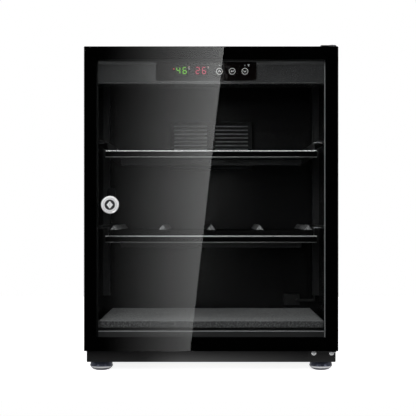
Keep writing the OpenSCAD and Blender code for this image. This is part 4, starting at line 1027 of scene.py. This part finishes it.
# %% [markdown]
# ## The studio
# The cabinet stands on a matt white table that keeps its soft shadow, and ends a little way in front
# of it, so that the glass doesn't mirror it. In mirrors the table is black but for a pool of light,
# which gives the glossy base its gradient. The camera sees white past the cabinet. Behind the camera
# hangs a black curtain, as photographers use for glossy black things: the world is dark that way.
# %% Table
TABLE_FRONT, TABLE_BACK, TABLE_HALF = -0.46, 1.6, 1.6
TABLE_GLOW = 0.86
POOL_LEFT, POOL_RIGHT, POOL_DEEP = (-0.115, -0.055), (-0.03, 0.16), (-0.43, -0.29)
POOL_FAINT, POOL_FULL, POOL_DIM, POOL_GAIN = 0.27, 1.7, 0.45, 1.1


def studio_sheet(name, corners, finish):
    """A flat sheet between four corners, which belongs to the studio and not to the cabinet."""
    mesh = bpy.data.meshes.new(name)
    mesh.from_pydata(corners, [], [(0, 1, 2, 3)])
    mesh.materials.append(finish.material)
    return in_scene(name, mesh)


white = Finish("table_white", (0.8, 0.8, 0.8), 0.9)
white.colours(white.noise(200 * mm), (0.79, 0.79, 0.79), (0.81, 0.81, 0.81))
white.fix({"Specular IOR Level": 0.0})
seen = white.node("ShaderNodeLightPath")
own = white.node("ShaderNodeEmission", inputs={"Color": (1, 1, 1, 1)})
white.link(white.span(seen.outputs["Is Camera Ray"], 0, 1, 0.0, TABLE_GLOW), own.inputs["Strength"])
both = white.through("ShaderNodeAddShader",
                     {0: white.shader.outputs["BSDF"], 1: own.outputs["Emission"]}, 0)
across = white.along("X")
pool = white.two("MINIMUM", white.span(across, *POOL_LEFT, POOL_FAINT, POOL_FULL),
                 white.span(across, *POOL_RIGHT, POOL_FULL, POOL_DIM))
gleam = white.two("MULTIPLY", pool, white.span(white.along("Y"), *POOL_DEEP, 0.0, POOL_GAIN))
white.choose(seen.outputs["Is Glossy Ray"], both,
             white.through("ShaderNodeEmission", {"Strength": gleam}, "Emission"))
table = studio_sheet("table", [(-TABLE_HALF, TABLE_FRONT, 0), (TABLE_HALF, TABLE_FRONT, 0),
                               (TABLE_HALF, TABLE_BACK, 0), (-TABLE_HALF, TABLE_BACK, 0)], white)
print("table", [round(v, 3) for v in table.dimensions])

# %% World
WORLD_LEVEL = 0.5
CURTAIN = (-0.85, -0.1)
world = bpy.data.worlds.new("studio")
bpy.context.scene.world = world
world.use_nodes = True
sky = Nodes(world.node_tree)
background = sky.tree.nodes["Background"]
path = sky.node("ShaderNodeLightPath")
back = sky.along("Y", sky.node("ShaderNodeTexCoord").outputs["Generated"])
curtain = sky.span(back, *CURTAIN, 0.0, WORLD_LEVEL, "SMOOTHSTEP")
mirrored = sky.with_number("GREATER_THAN", path.outputs["Glossy Depth"], 0.5)
straight = sky.two("SUBTRACT", path.outputs["Is Transmission Ray"], mirrored, clamp=True)
direct = sky.two("MAXIMUM", straight, path.outputs["Is Camera Ray"])
level = sky.through("ShaderNodeMix", {"Factor": direct, "A": curtain}, "Result", inputs={"B": 1.0})
sky.link(level, background.inputs["Strength"])
background.inputs["Color"].default_value = (1, 1, 1, 1)
print("world", WORLD_LEVEL)

# %% [markdown]
# ## Lamps
# Two soft lamps stand in front on the left and the right, and one hangs overhead. The strong one
# stands behind the camera and doesn't show in mirrors.
# %% Lamps
def soft_lamp(name, place, aim, size, power):
    """A square area lamp at a place, turned so that it faces the point aimed at."""
    lamp = bpy.data.lights.new(name, "AREA")
    lamp.shape = "SQUARE"
    lamp.size = size
    lamp.energy = power
    holder = in_scene(name, lamp)
    holder.location = place
    toward = Vector(aim) - Vector(place)
    holder.rotation_euler = toward.to_track_quat("-Z", "Y").to_euler()
    return holder


soft_lamp("lamp_left", (-1.15, -1.55, 0.95), (0, -0.15, 0.22), 0.8, 7)
soft_lamp("lamp_right", (1.3, -1.3, 0.8), (0, -0.1, 0.25), 0.7, 7)
soft_lamp("lamp_over", (0.0, -1.05, 1.45), (0, -0.1, 0.25), 0.8, 8)
fill = soft_lamp("lamp_front", (-0.15, -2.6, 0.8), (0, -0.15, 0.25), 0.9, 36)
fill.visible_glossy = False
fill.visible_transmission = False
print("lamps", len(bpy.data.lights))

# %% [markdown]
# ## The reflection in the door
# The photograph's door mirrors a long soft light, with a right edge that runs slantwise down the glass,
# and it fades out towards the left. It is a glowing card in front of the cabinet. A point of the card
# is as far from the camera's line as its pixel says, at the distance to the glass and back again to
# the card. It only shows in mirrors and casts no light on matt surfaces.
# %% The reflection in the door
CARD_Y = -0.95
CARD_GLOW = 1.62
FADE_POWER = 1.9
FADE_END_PIXEL = 222
card_path = CAMERA_DISTANCE + (DOOR_FRONT - CARD_Y)
edge_top_pixel, edge_low_pixel, fade_pixel = (224.8, 40.0), (189.0, 362.0), 100.0


def on_card(pixel):
    """Place on the card that the glass shows at a pixel."""
    return (card_path * (pixel[0] - AHEAD_PIXEL[0]) / FOCAL_PIXELS, CARD_Y,
            CAMERA_HEIGHT - card_path * (pixel[1] - AHEAD_PIXEL[1]) / FOCAL_PIXELS)


corners = [on_card((fade_pixel, edge_low_pixel[1])), on_card(edge_low_pixel),
           on_card(edge_top_pixel), on_card((fade_pixel, edge_top_pixel[1]))]
glow = Finish("card_glow", (0, 0, 0), 1.0)
share = glow.span(glow.along("X"), corners[0][0], on_card((FADE_END_PIXEL, 0))[0])
strength = glow.with_number("MULTIPLY", glow.with_number("POWER", share, FADE_POWER), CARD_GLOW)
glow.show(glow.through("ShaderNodeEmission", {"Strength": strength}, "Emission"))
card = studio_sheet("light_card", corners, glow)
card.visible_camera = False
card.visible_diffuse = False
card.visible_shadow = False
print("card corners", [[round(v, 3) for v in c] for c in corners])
